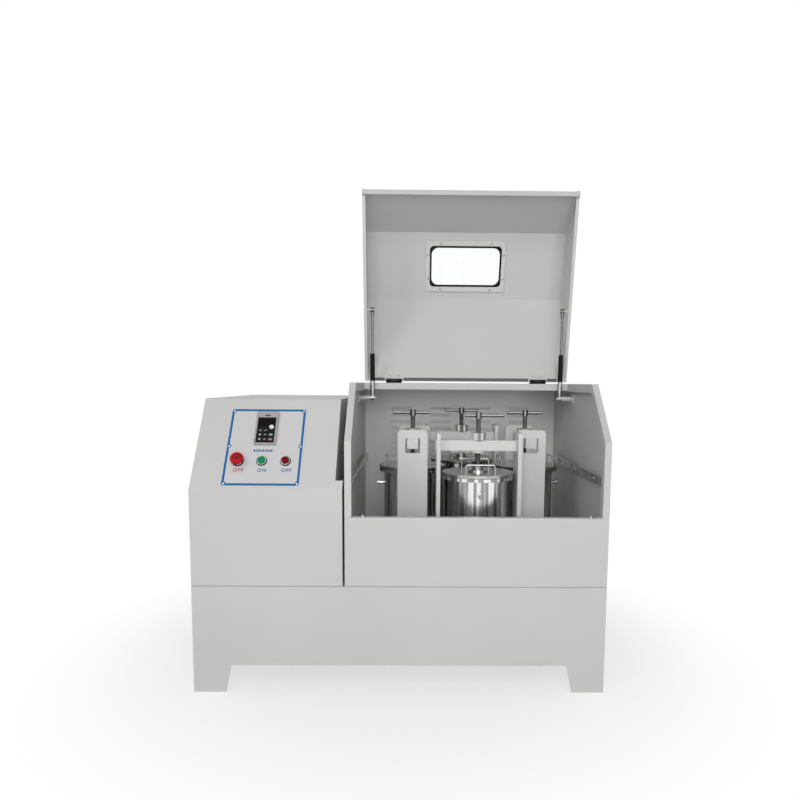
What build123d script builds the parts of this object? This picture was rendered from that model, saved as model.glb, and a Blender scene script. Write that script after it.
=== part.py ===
from build123d import *

import os
from math import acos, asin, cos, degrees, hypot, pi, radians, sin, tan

# A floor-standing planetary ball mill: a skirted base, a control cabinet on its left, and on its right a
# chamber under a tilting hood, where four clamped jars ride on a carrier around a fixed sun gear.
# Millimetres. The origin is on the floor under the middle of the machine: +X right, +Y to the rear, +Z up.
# The hood is modelled open, as the machine stands for loading.

os.makedirs("parts", exist_ok=True)

# ---------------------------------------------------------------- driving dimensions
machine_width = 1250.0
machine_depth = 840.0
sheet = 2.0  # thickness of the bent panels
bend_radius = 4.0  # outside radius of a bend
seat_gap = 0.2  # between pieces of different bodies that rest on each other
fit = 0.05  # radial clearance of a running fit

base_height = 330.0
foot_cut_height = 85.0
foot_width_floor = 97.0
foot_width_top = 115.0
frame_tube = 40.0
foot_plate = 8.0
foot_plate_side = 78.0
deck_thickness = 8.0
lower_ring_level = 190.0
shelf_level = 270.0  # top of the motor shelf's bearers
shelf_thickness = 10.0

cabinet_gap = 7.0  # to the mill housing
cabinet_step = 22.0  # by which the front is wider
cabinet_height = 887.0
cabinet_bend_height = 621.0
slope_run = 190.0
notch_height = 35.0  # along the slope, where the wide front ends
panel_return = 25.0

chamber_clearance = 59.0  # from the grinding stations to the housing's outside
housing_height = 941.0
front_panel_top = 542.0
side_bend_height = 768.0
side_slope_run = 175.0
flange_face = 20.0
flange_return = 28.0
ledge_depth = 322.0
ledge_lip = 26.0
ledge_underside = 22.0

louvre_columns = 4
louvre_rows = 9
louvre_column_pitch = 161.0
louvre_row_pitch = 27.0
louvre_width = 86.0
louvre_height = 9.0
louvre_rise = 8.0
louvre_centre_height = 727.0

rail_height = 27.0
rail_depth = 16.0
rail_length = 710.0
rail_front_gap = 40.0  # from the machine's front to the rail
rail_level = 633.0
rail_holes = 8
rail_hole_length = 44.0
rail_hole_width = 12.0

# Hood
hood_opening = 117.0  # degrees from shut to open
hinge_height = 8.0  # axis above the ledge
hinge_setback = 8.0  # axis behind the ledge's front edge
knuckle_radius = 6.0
hinge_pin_radius = 2.5
leaf_thickness = 2.5
leaf_depth = 30.0
hinge_width = 58.0
hinge_spacing = 531.0
hood_side_gap = 2.0  # to the side flanges
hood_rim = 11.0
hood_front_rim = 22.0
hood_hem = 12.0
hood_hem_setback = 53.0  # from each side
hood_strip = 27.0  # doubled strip by the front bend
hood_front_gap = 8.0  # over the front panel when shut
window_width = 300.0
window_height = 188.0
window_open_width = 266.0
window_open_height = 146.0
window_corner = 21.0
window_frame_thickness = 6.0
pane_thickness = 4.0
pane_overlap = 7.0

# Gas struts
strut_inset = 52.0  # from the housing's side to the strut's centre line
strut_foot_back = 22.0  # lower pivot in front of the hinge axis
strut_foot_drop = 63.0
strut_head_forward = 31.0  # upper pivot in front of the hinge axis, hood open
strut_head_rise = 252.0
strut_tube_radius = 8.5
strut_tube_start = 20.0  # from the lower pivot
strut_tube_end = 160.0
strut_tube_floor = 34.0
strut_cap_length = 25.0
strut_rod_start = 150.0
strut_rod_radius = 4.0
strut_end_length = 22.0
strut_eye_radius = 9.0
strut_eye_width = 14.0
strut_pin_radius = 4.0
strut_side_gap = 0.4
bracket_width = 26.0
bracket_height = 34.0
bracket_plate = 4.0
bracket_arm_radius = 8.0
stud_radius = 5.0
stud_flange_radius = 6.2

# Drive
rotor_offset = 5.0  # to the right of the chamber's middle
rotor_y = -10.0
motor_inset = 230.0  # from the machine's left side
orbit_radius = 200.0
orbit_start = 4.0  # degrees, first station from straight in front
stations = 4
gear_teeth = 25
gear_thickness = 18.0
pressure_angle = 20.0
backlash = 0.5
sun_bore = 46.0
shaft_radius = 25.0
shaft_bottom = 176.0
hub_radius = 60.0
hub_thickness = 10.0
bearing_flange_radius = 130.0
bearing_flange_thickness = 16.0
bearing_barrel_radius = 65.0
bearing_barrel_bottom = 240.0
bearing_outer_radius = 45.0
bearing_width = 20.0
bearing_shoulder_radius = 38.0
carrier_radius = 262.0
carrier_level = 380.0
carrier_thickness = 20.0
carrier_window_radius = 42.0
carrier_window_orbit = 165.0
centre_boss_radius = 45.0
centre_boss_height = 12.0
spindle_radius = 17.5
spindle_boss_radius = 50.0
spindle_boss_drop = 10.0
spindle_boss_rise = 6.0
spindle_flange_radius = 60.0
spindle_flange_thickness = 8.0

driven_pulley_radius = 150.0
motor_pulley_radius = 60.0
pulley_level = 184.0
pulley_height = 42.0
belt_pitch = 20.0
belt_top_width = 17.0
belt_depth = 11.0
groove_depth = 14.0
groove_angle = 36.0
belt_gap = 0.3
motor_flange_radius = 125.0
motor_flange_thickness = 14.0
motor_radius = 95.0
motor_fin = 10.0
motor_fins = 20
motor_length = 230.0
fan_cover_length = 60.0
terminal_box_width = 90.0
terminal_box_length = 110.0
terminal_box_height = 60.0
motor_shaft_radius = 14.0

# A grinding station, measured from its own axis
plate_clearance = 7.5  # around the jar's flange
frame_plate_width = 100.0
frame_plate_thickness = 12.0
frame_top = 785.0
frame_top_radius = 14.0
frame_base_radius = 112.0
frame_base_thickness = 14.0
locating_ring_height = 8.0
locating_ring_width = 8.0
slot_width = 50.0
slot_height = 50.0
jar_radius = 99.5
jar_wall = 8.0
jar_bottom = 12.0
jar_height = 216.5
jar_flange_radius = 116.5
jar_flange_thickness = 10.5
lid_thickness = 10.5
lid_spigot = 6.0
lid_hub_radius = 30.0
lid_hub_height = 6.0
handle_offset = 92.0
handle_span = 92.0
handle_height = 31.0
handle_wire_radius = 2.5
handle_bend = 8.0
valve_drop = 54.0  # below the jar's rim
valve_radius = 6.0
valve_length = 16.0
valve_cap_radius = 8.0
valve_cap_length = 8.0
foot_radius = 18.0
foot_top_radius = 12.0
foot_height = 15.0
foot_socket_depth = 10.0
screw_radius = 7.5
screw_travel = 20.0
crossbar_drop = 62.0  # its underside, below the plates' tops
crossbar_length = 280.0
crossbar_width = 36.0
crossbar_height = 35.0
crossbar_chamfer = 2.0
nut_width = 46.0
nut_height = 24.0
crossbar_boss_radius = 22.0
crossbar_boss_height = 6.0
tee_rise = 53.0  # the bars, above the plates' tops
tee_hub_radius = 11.0
tee_hub_height = 20.0
tee_bar_radius = 5.5
tee_bar_length = 128.0
tee_bar_shifts = (19.0, 0.0, 0.0, -6.0)  # how far each bar is slid through its screw

# Controls, on the slope: x across the machine from its left side, y up the slope from the bend
control_plate_thickness = 1.5
control_plate_width = 240.0
control_plate_height = 280.0
control_plate_centre = (208.5, 151.0)
keypad_centre = (207.5, 214.0)
keypad_width = 68.0
keypad_height = 120.0
keypad_thickness = 9.0
keypad_window_width = 56.0
keypad_window_height = 92.0
keypad_recess = 3.0
knob_centre = (224.5, 213.0)
knob_radius = 7.0
knob_height = 9.0
knob_stem_radius = 4.0
stop_centre = (133.0, 99.0)
green_centre = (205.0, 99.0)
red_centre = (277.0, 99.0)
collar_radius = 14.5
collar_height = 6.0
collar_floor = 2.0
barrel_radius = 11.0
barrel_length = 22.0
button_radius = 12.0
button_stem_radius = 7.0
button_travel = 3.0
button_height = 4.5
mushroom_radius = 20.0
mushroom_collar_radius = 16.0
mushroom_standoff = 13.0
mushroom_height = 12.0
mushroom_travel = 4.0

inverter_width = 110.0
inverter_depth = 150.0
inverter_height = 220.0
inverter_level = 420.0
inverter_rear_gap = 120.0
vent_pitch = 14.0
vent_count = 9
vent_depth = 12.0

# ---------------------------------------------------------------- places worked out from them
left = -machine_width / 2
right = machine_width / 2
front = -machine_depth / 2
rear = machine_depth / 2
deck_bottom = base_height - deck_thickness
frame_half_length = jar_flange_radius + plate_clearance + frame_plate_thickness
housing_width = 2 * (orbit_radius + frame_half_length + chamber_clearance)
cabinet_front_width = machine_width - housing_width - cabinet_gap
cabinet_width = cabinet_front_width - cabinet_step
housing_left = right - housing_width
chamber_x = (housing_left + right) / 2
rotor_x = chamber_x + rotor_offset
motor_x = left + motor_inset
tee_height = frame_top + tee_rise
slope_rise = cabinet_height - cabinet_bend_height
slope_length = hypot(slope_run, slope_rise)
slope_plane = Plane(
    origin=(left, front, cabinet_bend_height),
    x_dir=(1, 0, 0),
    z_dir=(0, -slope_rise, slope_run),
)
ledge_front = rear - ledge_depth
hinge_y = ledge_front + hinge_setback
hinge_z = housing_height + hinge_height
gear_level = base_height + bearing_flange_thickness + 2.0
spindle_seat = carrier_level + carrier_thickness + spindle_boss_rise + seat_gap
frame_base = spindle_seat + spindle_flange_thickness
jar_level = frame_base + frame_base_thickness
jar_top = jar_level + jar_height
lid_top = jar_top + lid_thickness
foot_level = lid_top + lid_hub_height + seat_gap
screw_bottom = foot_level + foot_height - foot_socket_depth + seat_gap
crossbar_level = frame_top - crossbar_drop
crossbar_top = crossbar_level + crossbar_height
rotor_plane = Plane(origin=(rotor_x, rotor_y, 0), z_dir=(0, 0, 1))
motor_plane = Plane(origin=(motor_x, rotor_y, 0), z_dir=(0, 0, 1))


# ---------------------------------------------------------------- helpers
def bent(plane, path, thickness=sheet, radius=bend_radius):
    """Section of a bent sheet: path is its outer side, and the metal lies to its right."""
    with BuildSketch(plane) as section:
        with BuildLine():
            FilletPolyline(*path, radius=radius)
            offset(amount=thickness, side=Side.RIGHT)
        make_face()
    return section.sketch


def upright(plane):
    """The vertical plane through an axis: x as the given plane's, y up."""
    return Plane(origin=plane.origin, x_dir=plane.x_dir, z_dir=-plane.y_dir)


def across(plane, distance):
    """The plane square to the given plane's x, that far along it: x as its y, y up."""
    return Plane(origin=plane.origin + plane.x_dir * distance, x_dir=plane.y_dir, z_dir=plane.x_dir)


def axis_of(plane):
    """The given plane's own axis."""
    return Axis(plane.origin, plane.z_dir)


def turned(plane, *points):
    """Section of a turned piece, from points given as radius and height on the plane's axis."""
    with BuildSketch(upright(plane)) as section:
        Polygon(*points, align=None)
    return section.sketch


def skirt(length):
    """Outline of a skirt panel that stands on two feet, for a plane centred on its lower edge."""
    half = length / 2
    return [
        (-half, 0),
        (-half + foot_width_floor, 0),
        (-half + foot_width_top, foot_cut_height),
        (half - foot_width_top, foot_cut_height),
        (half - foot_width_floor, 0),
        (half, 0),
        (half, base_height),
        (-half, base_height),
    ]


def gear_outline(tooth_angle):
    """Corners of an involute gear with one tooth centred on the angle, in radians."""
    pitch_radius = orbit_radius / 2
    module = 2 * pitch_radius / gear_teeth
    flat = radians(pressure_angle)
    base_radius = pitch_radius * cos(flat)
    corners = []
    flanks = []
    for radius in (pitch_radius - 1.25 * module, pitch_radius, pitch_radius + module):
        roll = acos(base_radius / max(radius, base_radius))
        thick = pi / gear_teeth - backlash / pitch_radius
        flanks.append((radius, thick / 2 + tan(flat) - flat - tan(roll) + roll))
    for tooth in range(gear_teeth):
        centre = tooth_angle + 2 * pi * tooth / gear_teeth
        for radius, half in flanks:
            corners.append((radius * cos(centre - half), radius * sin(centre - half)))
        for radius, half in flanks[::-1]:
            corners.append((radius * cos(centre + half), radius * sin(centre + half)))
    return corners


# ---------------------------------------------------------------- base
long_plane = Plane(origin=(0, front, 0), x_dir=(-1, 0, 0), z_dir=(0, 1, 0))
with BuildPart() as base_long_panels:
    with BuildSketch(long_plane):
        Polygon(*skirt(machine_width), align=None)
    extrude(amount=sheet)
    mirror(about=Plane.XZ)
base_long_panels.part.label = "base_long_panels"
export_step(base_long_panels.part, "parts/base_long_panels.step")

end_plane = Plane(origin=(left, 0, 0), x_dir=(0, 1, 0), z_dir=(1, 0, 0))
with BuildPart() as base_end_panels:
    with BuildSketch(end_plane):
        Polygon(*skirt(machine_depth - 2 * sheet), align=None)
    extrude(amount=sheet)
    mirror(about=Plane.YZ)
base_end_panels.part.label = "base_end_panels"
export_step(base_end_panels.part, "parts/base_end_panels.step")

frame_x = machine_width - 2 * sheet
frame_y = machine_depth - 2 * sheet
bearer_spread = 2 * motor_flange_radius + frame_tube
shelf_side = bearer_spread + frame_tube
with BuildPart() as base_frame:
    with BuildSketch(Plane.XY):
        with GridLocations(frame_x - foot_plate_side, frame_y - foot_plate_side, 2, 2):
            Rectangle(foot_plate_side, foot_plate_side)
    extrude(amount=foot_plate)
    with BuildSketch(Plane.XY.offset(foot_plate)):
        with GridLocations(frame_x - frame_tube, frame_y - frame_tube, 2, 2):
            Rectangle(frame_tube, frame_tube)
    extrude(amount=deck_bottom - foot_plate)
    for level in (lower_ring_level, deck_bottom - frame_tube):
        with BuildSketch(Plane.XY.offset(level)):
            Rectangle(frame_x, frame_y)
            Rectangle(frame_x - 2 * frame_tube, frame_y - 2 * frame_tube, mode=Mode.SUBTRACT)
        extrude(amount=frame_tube)
    with BuildSketch(Plane.XY.offset(shelf_level - frame_tube)):
        with Locations((motor_x, 0)):
            with GridLocations(bearer_spread, 0, 2, 1):
                Rectangle(frame_tube, frame_y)
    extrude(amount=frame_tube)
    with BuildSketch(Plane.XY.offset(shelf_level)):
        with Locations((motor_x, rotor_y)):
            Rectangle(shelf_side, shelf_side)
            Circle(2 * motor_shaft_radius, mode=Mode.SUBTRACT)
    extrude(amount=shelf_thickness)
    with BuildSketch(Plane.XY.offset(deck_bottom - frame_tube)):
        with Locations((rotor_x, 0)):
            with GridLocations(2 * bearing_barrel_radius + 2 * frame_tube, 0, 2, 1):
                Rectangle(frame_tube, frame_y)
    extrude(amount=frame_tube)
    with BuildSketch(Plane.XY.offset(deck_bottom)):
        Rectangle(frame_x, frame_y)
        with Locations((rotor_x, rotor_y)):
            Circle(bearing_barrel_radius + sheet, mode=Mode.SUBTRACT)
        with Locations((motor_x, rotor_y)):
            Circle(motor_radius + 2 * motor_fin, mode=Mode.SUBTRACT)
    extrude(amount=deck_thickness)
base_frame.part.label = "base_frame"
export_step(base_frame.part, "parts/base_frame.step")

# ---------------------------------------------------------------- control cabinet
notch_point = (
    front + slope_run * notch_height / slope_length,
    cabinet_bend_height + slope_rise * notch_height / slope_length,
)
cabinet_outline = [
    (front, base_height),
    (front, cabinet_bend_height),
    (front + slope_run, cabinet_height),
    (rear, cabinet_height),
    (rear, base_height),
]
front_return = (front + panel_return, base_height)
rear_return = (rear - panel_return, base_height)
wide_path = [front_return] + cabinet_outline[:2] + [notch_point]
cover_section = bent(Plane.YZ.offset(left), [front_return] + cabinet_outline + [rear_return])
with BuildPart() as cabinet_cover:
    extrude(cover_section, amount=cabinet_width)
    extrude(bent(Plane.YZ.offset(left), wide_path), amount=cabinet_front_width)
    with BuildSketch(Plane.YZ.offset(left + cabinet_front_width)):
        Polygon(
            (front + sheet / 2, base_height + sheet),
            (front + sheet / 2, cabinet_bend_height),
            notch_point,
            (notch_point[0] + panel_return, notch_point[1]),
            (front + panel_return, cabinet_bend_height),
            (front + panel_return, base_height + sheet),
            align=None,
        )
    extrude(amount=-sheet)
    with BuildSketch(slope_plane):
        with Locations(keypad_centre):
            Rectangle(keypad_window_width, keypad_window_height)
        with Locations(stop_centre, green_centre, red_centre):
            Circle(barrel_radius + fit)
    extrude(amount=-2 * sheet, mode=Mode.SUBTRACT)
cabinet_cover.part.label = "cabinet_cover"
export_step(cabinet_cover.part, "parts/cabinet_cover.step")

with BuildPart() as cabinet_side_walls:
    with BuildSketch(Plane.YZ.offset(left)) as wall_outline:
        Polygon(*cabinet_outline, align=None)
        fillet(wall_outline.vertices(), bend_radius)
        offset(amount=-sheet, mode=Mode.REPLACE)
        with Locations((0, base_height)):
            Rectangle(machine_depth - 2 * panel_return, 2 * sheet, align=(Align.CENTER, Align.MIN))
    extrude(amount=sheet)
    mirror(about=Plane.YZ.offset(left + cabinet_width / 2))
cabinet_side_walls.part.label = "cabinet_side_walls"
export_step(cabinet_side_walls.part, "parts/cabinet_side_walls.step")

with BuildPart() as control_plate:
    with BuildSketch(slope_plane):
        with Locations(control_plate_centre):
            RectangleRounded(control_plate_width, control_plate_height, bend_radius)
        with Locations(keypad_centre):
            Rectangle(keypad_window_width, keypad_window_height, mode=Mode.SUBTRACT)
        with Locations(stop_centre, green_centre, red_centre):
            Circle(barrel_radius + fit, mode=Mode.SUBTRACT)
    extrude(amount=control_plate_thickness)
control_plate.part.label = "control_plate"
export_step(control_plate.part, "parts/control_plate.step")

plate_top = slope_plane.offset(control_plate_thickness)
knob_seat = plate_top.offset(keypad_thickness - keypad_recess)
slope_axis = Axis(slope_plane.origin, slope_plane.z_dir)
with BuildPart() as keypad_housing:
    with BuildSketch(plate_top):
        with Locations(keypad_centre):
            RectangleRounded(keypad_width, keypad_height, bend_radius)
    extrude(amount=keypad_thickness)
    chamfer(keypad_housing.faces().sort_by(slope_axis)[-1].edges(), 1.5)
    with BuildSketch(plate_top.offset(keypad_thickness)):
        with Locations(keypad_centre):
            Rectangle(keypad_window_width, keypad_window_height)
    extrude(amount=-keypad_recess, mode=Mode.SUBTRACT)
    with BuildSketch(knob_seat):
        with Locations(knob_centre):
            Circle(knob_stem_radius + fit)
    extrude(amount=-keypad_recess, mode=Mode.SUBTRACT)
keypad_housing.part.label = "keypad_housing"
export_step(keypad_housing.part, "parts/keypad_housing.step")

with BuildPart() as speed_knob:
    with BuildSketch(knob_seat.offset(seat_gap)):
        with Locations(knob_centre):
            Circle(knob_radius)
    extrude(amount=knob_height)
    fillet(speed_knob.faces().sort_by(slope_axis)[-1].edges(), 1.0)
    with BuildSketch(knob_seat.offset(seat_gap)):
        with Locations(knob_centre):
            Circle(knob_stem_radius)
    extrude(amount=-(keypad_recess - seat_gap))
    with BuildSketch(knob_seat.offset(seat_gap + knob_height)):
        with Locations((knob_centre[0], knob_centre[1] + knob_radius / 2)):
            Rectangle(1.5, knob_radius)
    extrude(amount=-1.0, mode=Mode.SUBTRACT)
speed_knob.part.label = "speed_knob"
export_step(speed_knob.part, "parts/speed_knob.step")


def on_plate(centre):
    """The plane on the control plate's face, centred on a control."""
    place = plate_top.from_local_coords(Vector(*centre, 0))
    return Plane(origin=place, x_dir=plate_top.x_dir, z_dir=plate_top.z_dir)


def collar_section(centre, radius, bore, floor):
    """Section of a button's collar, with its barrel through the panel."""
    return turned(
        on_plate(centre),
        (button_stem_radius + fit, -barrel_length),
        (barrel_radius, -barrel_length),
        (barrel_radius, 0),
        (radius, 0),
        (radius, collar_height - 1.0),
        (radius - 1.0, collar_height),
        (bore, collar_height),
        (bore, floor),
        (button_stem_radius + fit, floor),
    )


wide_bore = button_radius + fit
with BuildPart() as button_collars:
    for centre in (green_centre, red_centre):
        revolve(collar_section(centre, collar_radius, wide_bore, collar_floor), axis=axis_of(on_plate(centre)))
    stop_section = collar_section(stop_centre, mushroom_collar_radius, button_stem_radius + 1.0, collar_floor)
    revolve(stop_section, axis=axis_of(on_plate(stop_centre)))
button_collars.part.label = "button_collars"
export_step(button_collars.part, "parts/button_collars.step")

button_rest = collar_floor + button_travel + 0.5
for name, centre in (("start_button", green_centre), ("stop_button", red_centre)):
    with BuildPart() as button:
        button_section = turned(
            on_plate(centre),
            (0, 4.0 - barrel_length),
            (button_stem_radius, 4.0 - barrel_length),
            (button_stem_radius, button_rest),
            (button_radius, button_rest),
            (button_radius, button_rest + button_height - 1.0),
            (button_radius - 1.0, button_rest + button_height),
            (0, button_rest + button_height),
        )
        revolve(button_section, axis=axis_of(on_plate(centre)))
    button.part.label = name
    export_step(button.part, f"parts/{name}.step")

with BuildPart() as emergency_stop:
    mushroom_section = turned(
        on_plate(stop_centre),
        (0, 4.0 - barrel_length),
        (button_stem_radius, 4.0 - barrel_length),
        (button_stem_radius, mushroom_standoff),
        (mushroom_radius, mushroom_standoff),
        (mushroom_radius, mushroom_standoff + mushroom_height),
        (0, mushroom_standoff + mushroom_height),
    )
    revolve(mushroom_section, axis=axis_of(on_plate(stop_centre)))
    fillet(emergency_stop.faces().sort_by(slope_axis)[-1].edges(), mushroom_height * 0.6)
emergency_stop.part.label = "emergency_stop"
export_step(emergency_stop.part, "parts/emergency_stop.step")

inverter_rear = rear - inverter_rear_gap
with BuildPart() as frequency_inverter:
    with BuildSketch(Plane.XY.offset(inverter_level)):
        with Locations((left + sheet, inverter_rear)):
            Rectangle(inverter_width, inverter_depth, align=(Align.MIN, Align.MAX))
    extrude(amount=inverter_height)
    fillet(frequency_inverter.edges().filter_by(Axis.Z).group_by(Axis.X)[-1], bend_radius)
    with BuildSketch(Plane.XY.offset(inverter_level + inverter_height)):
        with Locations((left + sheet + inverter_width / 2, inverter_rear - inverter_depth / 2)):
            with GridLocations(0, vent_pitch, 1, vent_count):
                Rectangle(inverter_width / 2, vent_pitch / 2)
    extrude(amount=-vent_depth, mode=Mode.SUBTRACT)
frequency_inverter.part.label = "frequency_inverter"
export_step(frequency_inverter.part, "parts/frequency_inverter.step")

# ---------------------------------------------------------------- mill housing
housing_outline = [
    (front, front_panel_top),
    (front, side_bend_height),
    (front + side_slope_run, housing_height),
    (rear, housing_height),
]
front_path = [
    (front + panel_return, base_height),
    (front, base_height),
    (front, front_panel_top),
    (front + panel_return, front_panel_top),
    (front + panel_return, front_panel_top - 12.0),
]
with BuildPart() as housing_front_panel:
    extrude(bent(Plane.YZ.offset(housing_left + sheet), front_path), amount=housing_width - 2 * sheet)
    with BuildSketch(Plane.XZ.offset(-front)):
        with Locations((chamber_x, (base_height + front_panel_top) / 2)):
            Rectangle(housing_width, front_panel_top - base_height - 2 * bend_radius)
    extrude(amount=-sheet)
housing_front_panel.part.label = "housing_front_panel"
export_step(housing_front_panel.part, "parts/housing_front_panel.step")

# The return stops short of the rear panel.
return_outline = housing_outline[:-1] + [(rear - sheet, housing_height)]
with BuildPart() as housing_side_walls:
    with BuildSketch(Plane.YZ.offset(housing_left)):
        Polygon(
            (front + sheet, base_height),
            (front + sheet, front_panel_top),
            *housing_outline,
            (rear, base_height),
            align=None,
        )
    extrude(amount=sheet)
    extrude(bent(Plane.YZ.offset(housing_left), housing_outline), amount=flange_face)
    return_section = bent(
        Plane.YZ.offset(housing_left + flange_face - sheet),
        return_outline,
        flange_return,
        flange_return + bend_radius,
    )
    extrude(return_section, amount=sheet)
    mirror(about=Plane.YZ.offset(chamber_x))
housing_side_walls.part.label = "housing_side_walls"
export_step(housing_side_walls.part, "parts/housing_side_walls.step")

louvre_span = louvre_column_pitch * (louvre_columns - 1)
with BuildPart() as housing_rear_panel:
    with BuildSketch(Plane(origin=(chamber_x, rear, 0), x_dir=(1, 0, 0), z_dir=(0, -1, 0))):
        with Locations((0, (base_height + housing_height - sheet) / 2)):
            Rectangle(housing_width - 2 * sheet, housing_height - sheet - base_height)
        with Locations((0, louvre_centre_height)):
            with GridLocations(louvre_column_pitch, louvre_row_pitch, louvre_columns, louvre_rows):
                Rectangle(louvre_width, louvre_height, mode=Mode.SUBTRACT)
    extrude(amount=sheet)
    for column in range(louvre_columns):
        start = chamber_x - louvre_span / 2 - louvre_width / 2 + column * louvre_column_pitch
        with BuildSketch(Plane.YZ.offset(start)):
            with Locations((rear - sheet, louvre_centre_height)):
                with GridLocations(0, louvre_row_pitch, 1, louvre_rows):
                    Polygon(
                        (0, louvre_height / 2 + 3.0),
                        (0, louvre_height / 2),
                        (1.5 - louvre_rise, -louvre_height / 2),
                        (-louvre_rise, -louvre_height / 2),
                        align=None,
                    )
        extrude(amount=louvre_width)
housing_rear_panel.part.label = "housing_rear_panel"
export_step(housing_rear_panel.part, "parts/housing_rear_panel.step")

ledge_path = [
    (ledge_front + ledge_underside, housing_height - ledge_lip),
    (ledge_front, housing_height - ledge_lip),
    (ledge_front, housing_height),
    (rear, housing_height),
]
with BuildPart() as housing_top_ledge:
    ledge_section = bent(Plane.YZ.offset(housing_left + flange_face), ledge_path)
    extrude(ledge_section, amount=housing_width - 2 * flange_face)
housing_top_ledge.part.label = "housing_top_ledge"
export_step(housing_top_ledge.part, "parts/housing_top_ledge.step")

rail_start = front + rail_front_gap
rail_inner = housing_left + sheet
rail_outer = rail_inner + rail_depth
with BuildPart() as side_rails:
    with BuildSketch(Plane.XZ.offset(-rail_start)):
        Polygon(
            (rail_inner, rail_level),
            (rail_outer, rail_level),
            (rail_outer, rail_level + rail_height),
            (rail_outer - sheet, rail_level + rail_height),
            (rail_outer - sheet, rail_level + sheet),
            (rail_inner, rail_level + sheet),
            align=None,
        )
    extrude(amount=-rail_length)
    with BuildSketch(Plane.YZ.offset(rail_outer)):
        with Locations((rail_start + rail_length / 2, rail_level + rail_height / 2)):
            with GridLocations(rail_length / rail_holes, 0, rail_holes, 1):
                SlotOverall(rail_hole_length, rail_hole_width)
    extrude(amount=-sheet, mode=Mode.SUBTRACT)
    mirror(about=Plane.YZ.offset(chamber_x))
side_rails.part.label = "side_rails"
export_step(side_rails.part, "parts/side_rails.step")

# ---------------------------------------------------------------- hinges
hinge_left = chamber_x - hinge_spacing / 2
knuckle_length = (hinge_width - 2 * seat_gap) / 3
hinge_plane = Plane(origin=(hinge_left, hinge_y, hinge_z), x_dir=(0, 1, 0), z_dir=(1, 0, 0))
hinge_axis = axis_of(hinge_plane)
with BuildPart() as hinge_fixed_leaves:
    with BuildSketch(hinge_plane.offset(-hinge_width / 2)):
        with Locations((0, -hinge_height)):
            Rectangle(leaf_depth, leaf_thickness, align=(Align.MIN, Align.MIN))
        Circle(knuckle_radius)
    extrude(amount=hinge_width)
    with BuildSketch(hinge_plane.offset(-knuckle_length / 2 - seat_gap)):
        Circle(knuckle_radius + 1.5 * seat_gap)
    extrude(amount=knuckle_length + 2 * seat_gap, mode=Mode.SUBTRACT)
    with BuildSketch(hinge_plane.offset(-hinge_width / 2)):
        Circle(hinge_pin_radius)
    extrude(amount=hinge_width)
    mirror(about=Plane.YZ.offset(chamber_x))
hinge_fixed_leaves.part.label = "hinge_fixed_leaves"
export_step(hinge_fixed_leaves.part, "parts/hinge_fixed_leaves.step")

# ---------------------------------------------------------------- hood: drawn shut, on planes swung open
swing = radians(-hood_opening)


def hood_plane(x):
    """Plane square to the hinge axis that turns with the hood: x to the rear and y up when it is shut."""
    return Plane(origin=(x, hinge_y, hinge_z), x_dir=(0, cos(swing), sin(swing)), z_dir=(1, 0, 0))


hood_left = housing_left + flange_face + hood_side_gap
hood_width = housing_width - 2 * (flange_face + hood_side_gap)
hood_rear = (-sheet, hinge_height)
hood_back = (front + side_slope_run - hinge_y, housing_height + sheet - hinge_z)
hood_front = (front + sheet / 2 - hinge_y, side_bend_height - hinge_z)
hood_foot = (hood_front[0], front_panel_top + hood_front_gap - hinge_z)
hood_lip = (hood_foot[0] + hood_front_rim, hood_foot[1])
rim_length = hypot(hood_rear[0] - hood_foot[0], hood_rear[1] - hood_foot[1])
rim_inward = (
    (hood_foot[1] - hood_rear[1]) / rim_length * sheet,
    (hood_rear[0] - hood_foot[0]) / rim_length * sheet,
)
slant = hypot(hood_back[0] - hood_front[0], hood_back[1] - hood_front[1])
slant_along = ((hood_front[0] - hood_back[0]) / slant, (hood_front[1] - hood_back[1]) / slant)
slant_inward = (-slant_along[1], slant_along[0])
hood_middle = ((hood_back[0] + hood_front[0]) / 2, (hood_back[1] + hood_front[1]) / 2)
hood_centre = hood_plane(chamber_x)
slant_outside = Plane(
    origin=hood_centre.from_local_coords(Vector(*hood_middle, 0)),
    x_dir=(1, 0, 0),
    z_dir=hood_centre.x_dir * slant_inward[0] + hood_centre.y_dir * slant_inward[1],
)
slant_inside = slant_outside.offset(sheet)
lid_tilt = (hood_rear[1] - hood_back[1]) / (hood_rear[0] - hood_back[0])
leaf_edge = knuckle_length / 2 + seat_gap


def under_top(u, depth):
    """Point of the shut hood that far below its top panel's inner face."""
    return (u, hood_rear[1] + (u - hood_rear[0]) * lid_tilt - sheet * hypot(1, lid_tilt) - depth)


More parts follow.
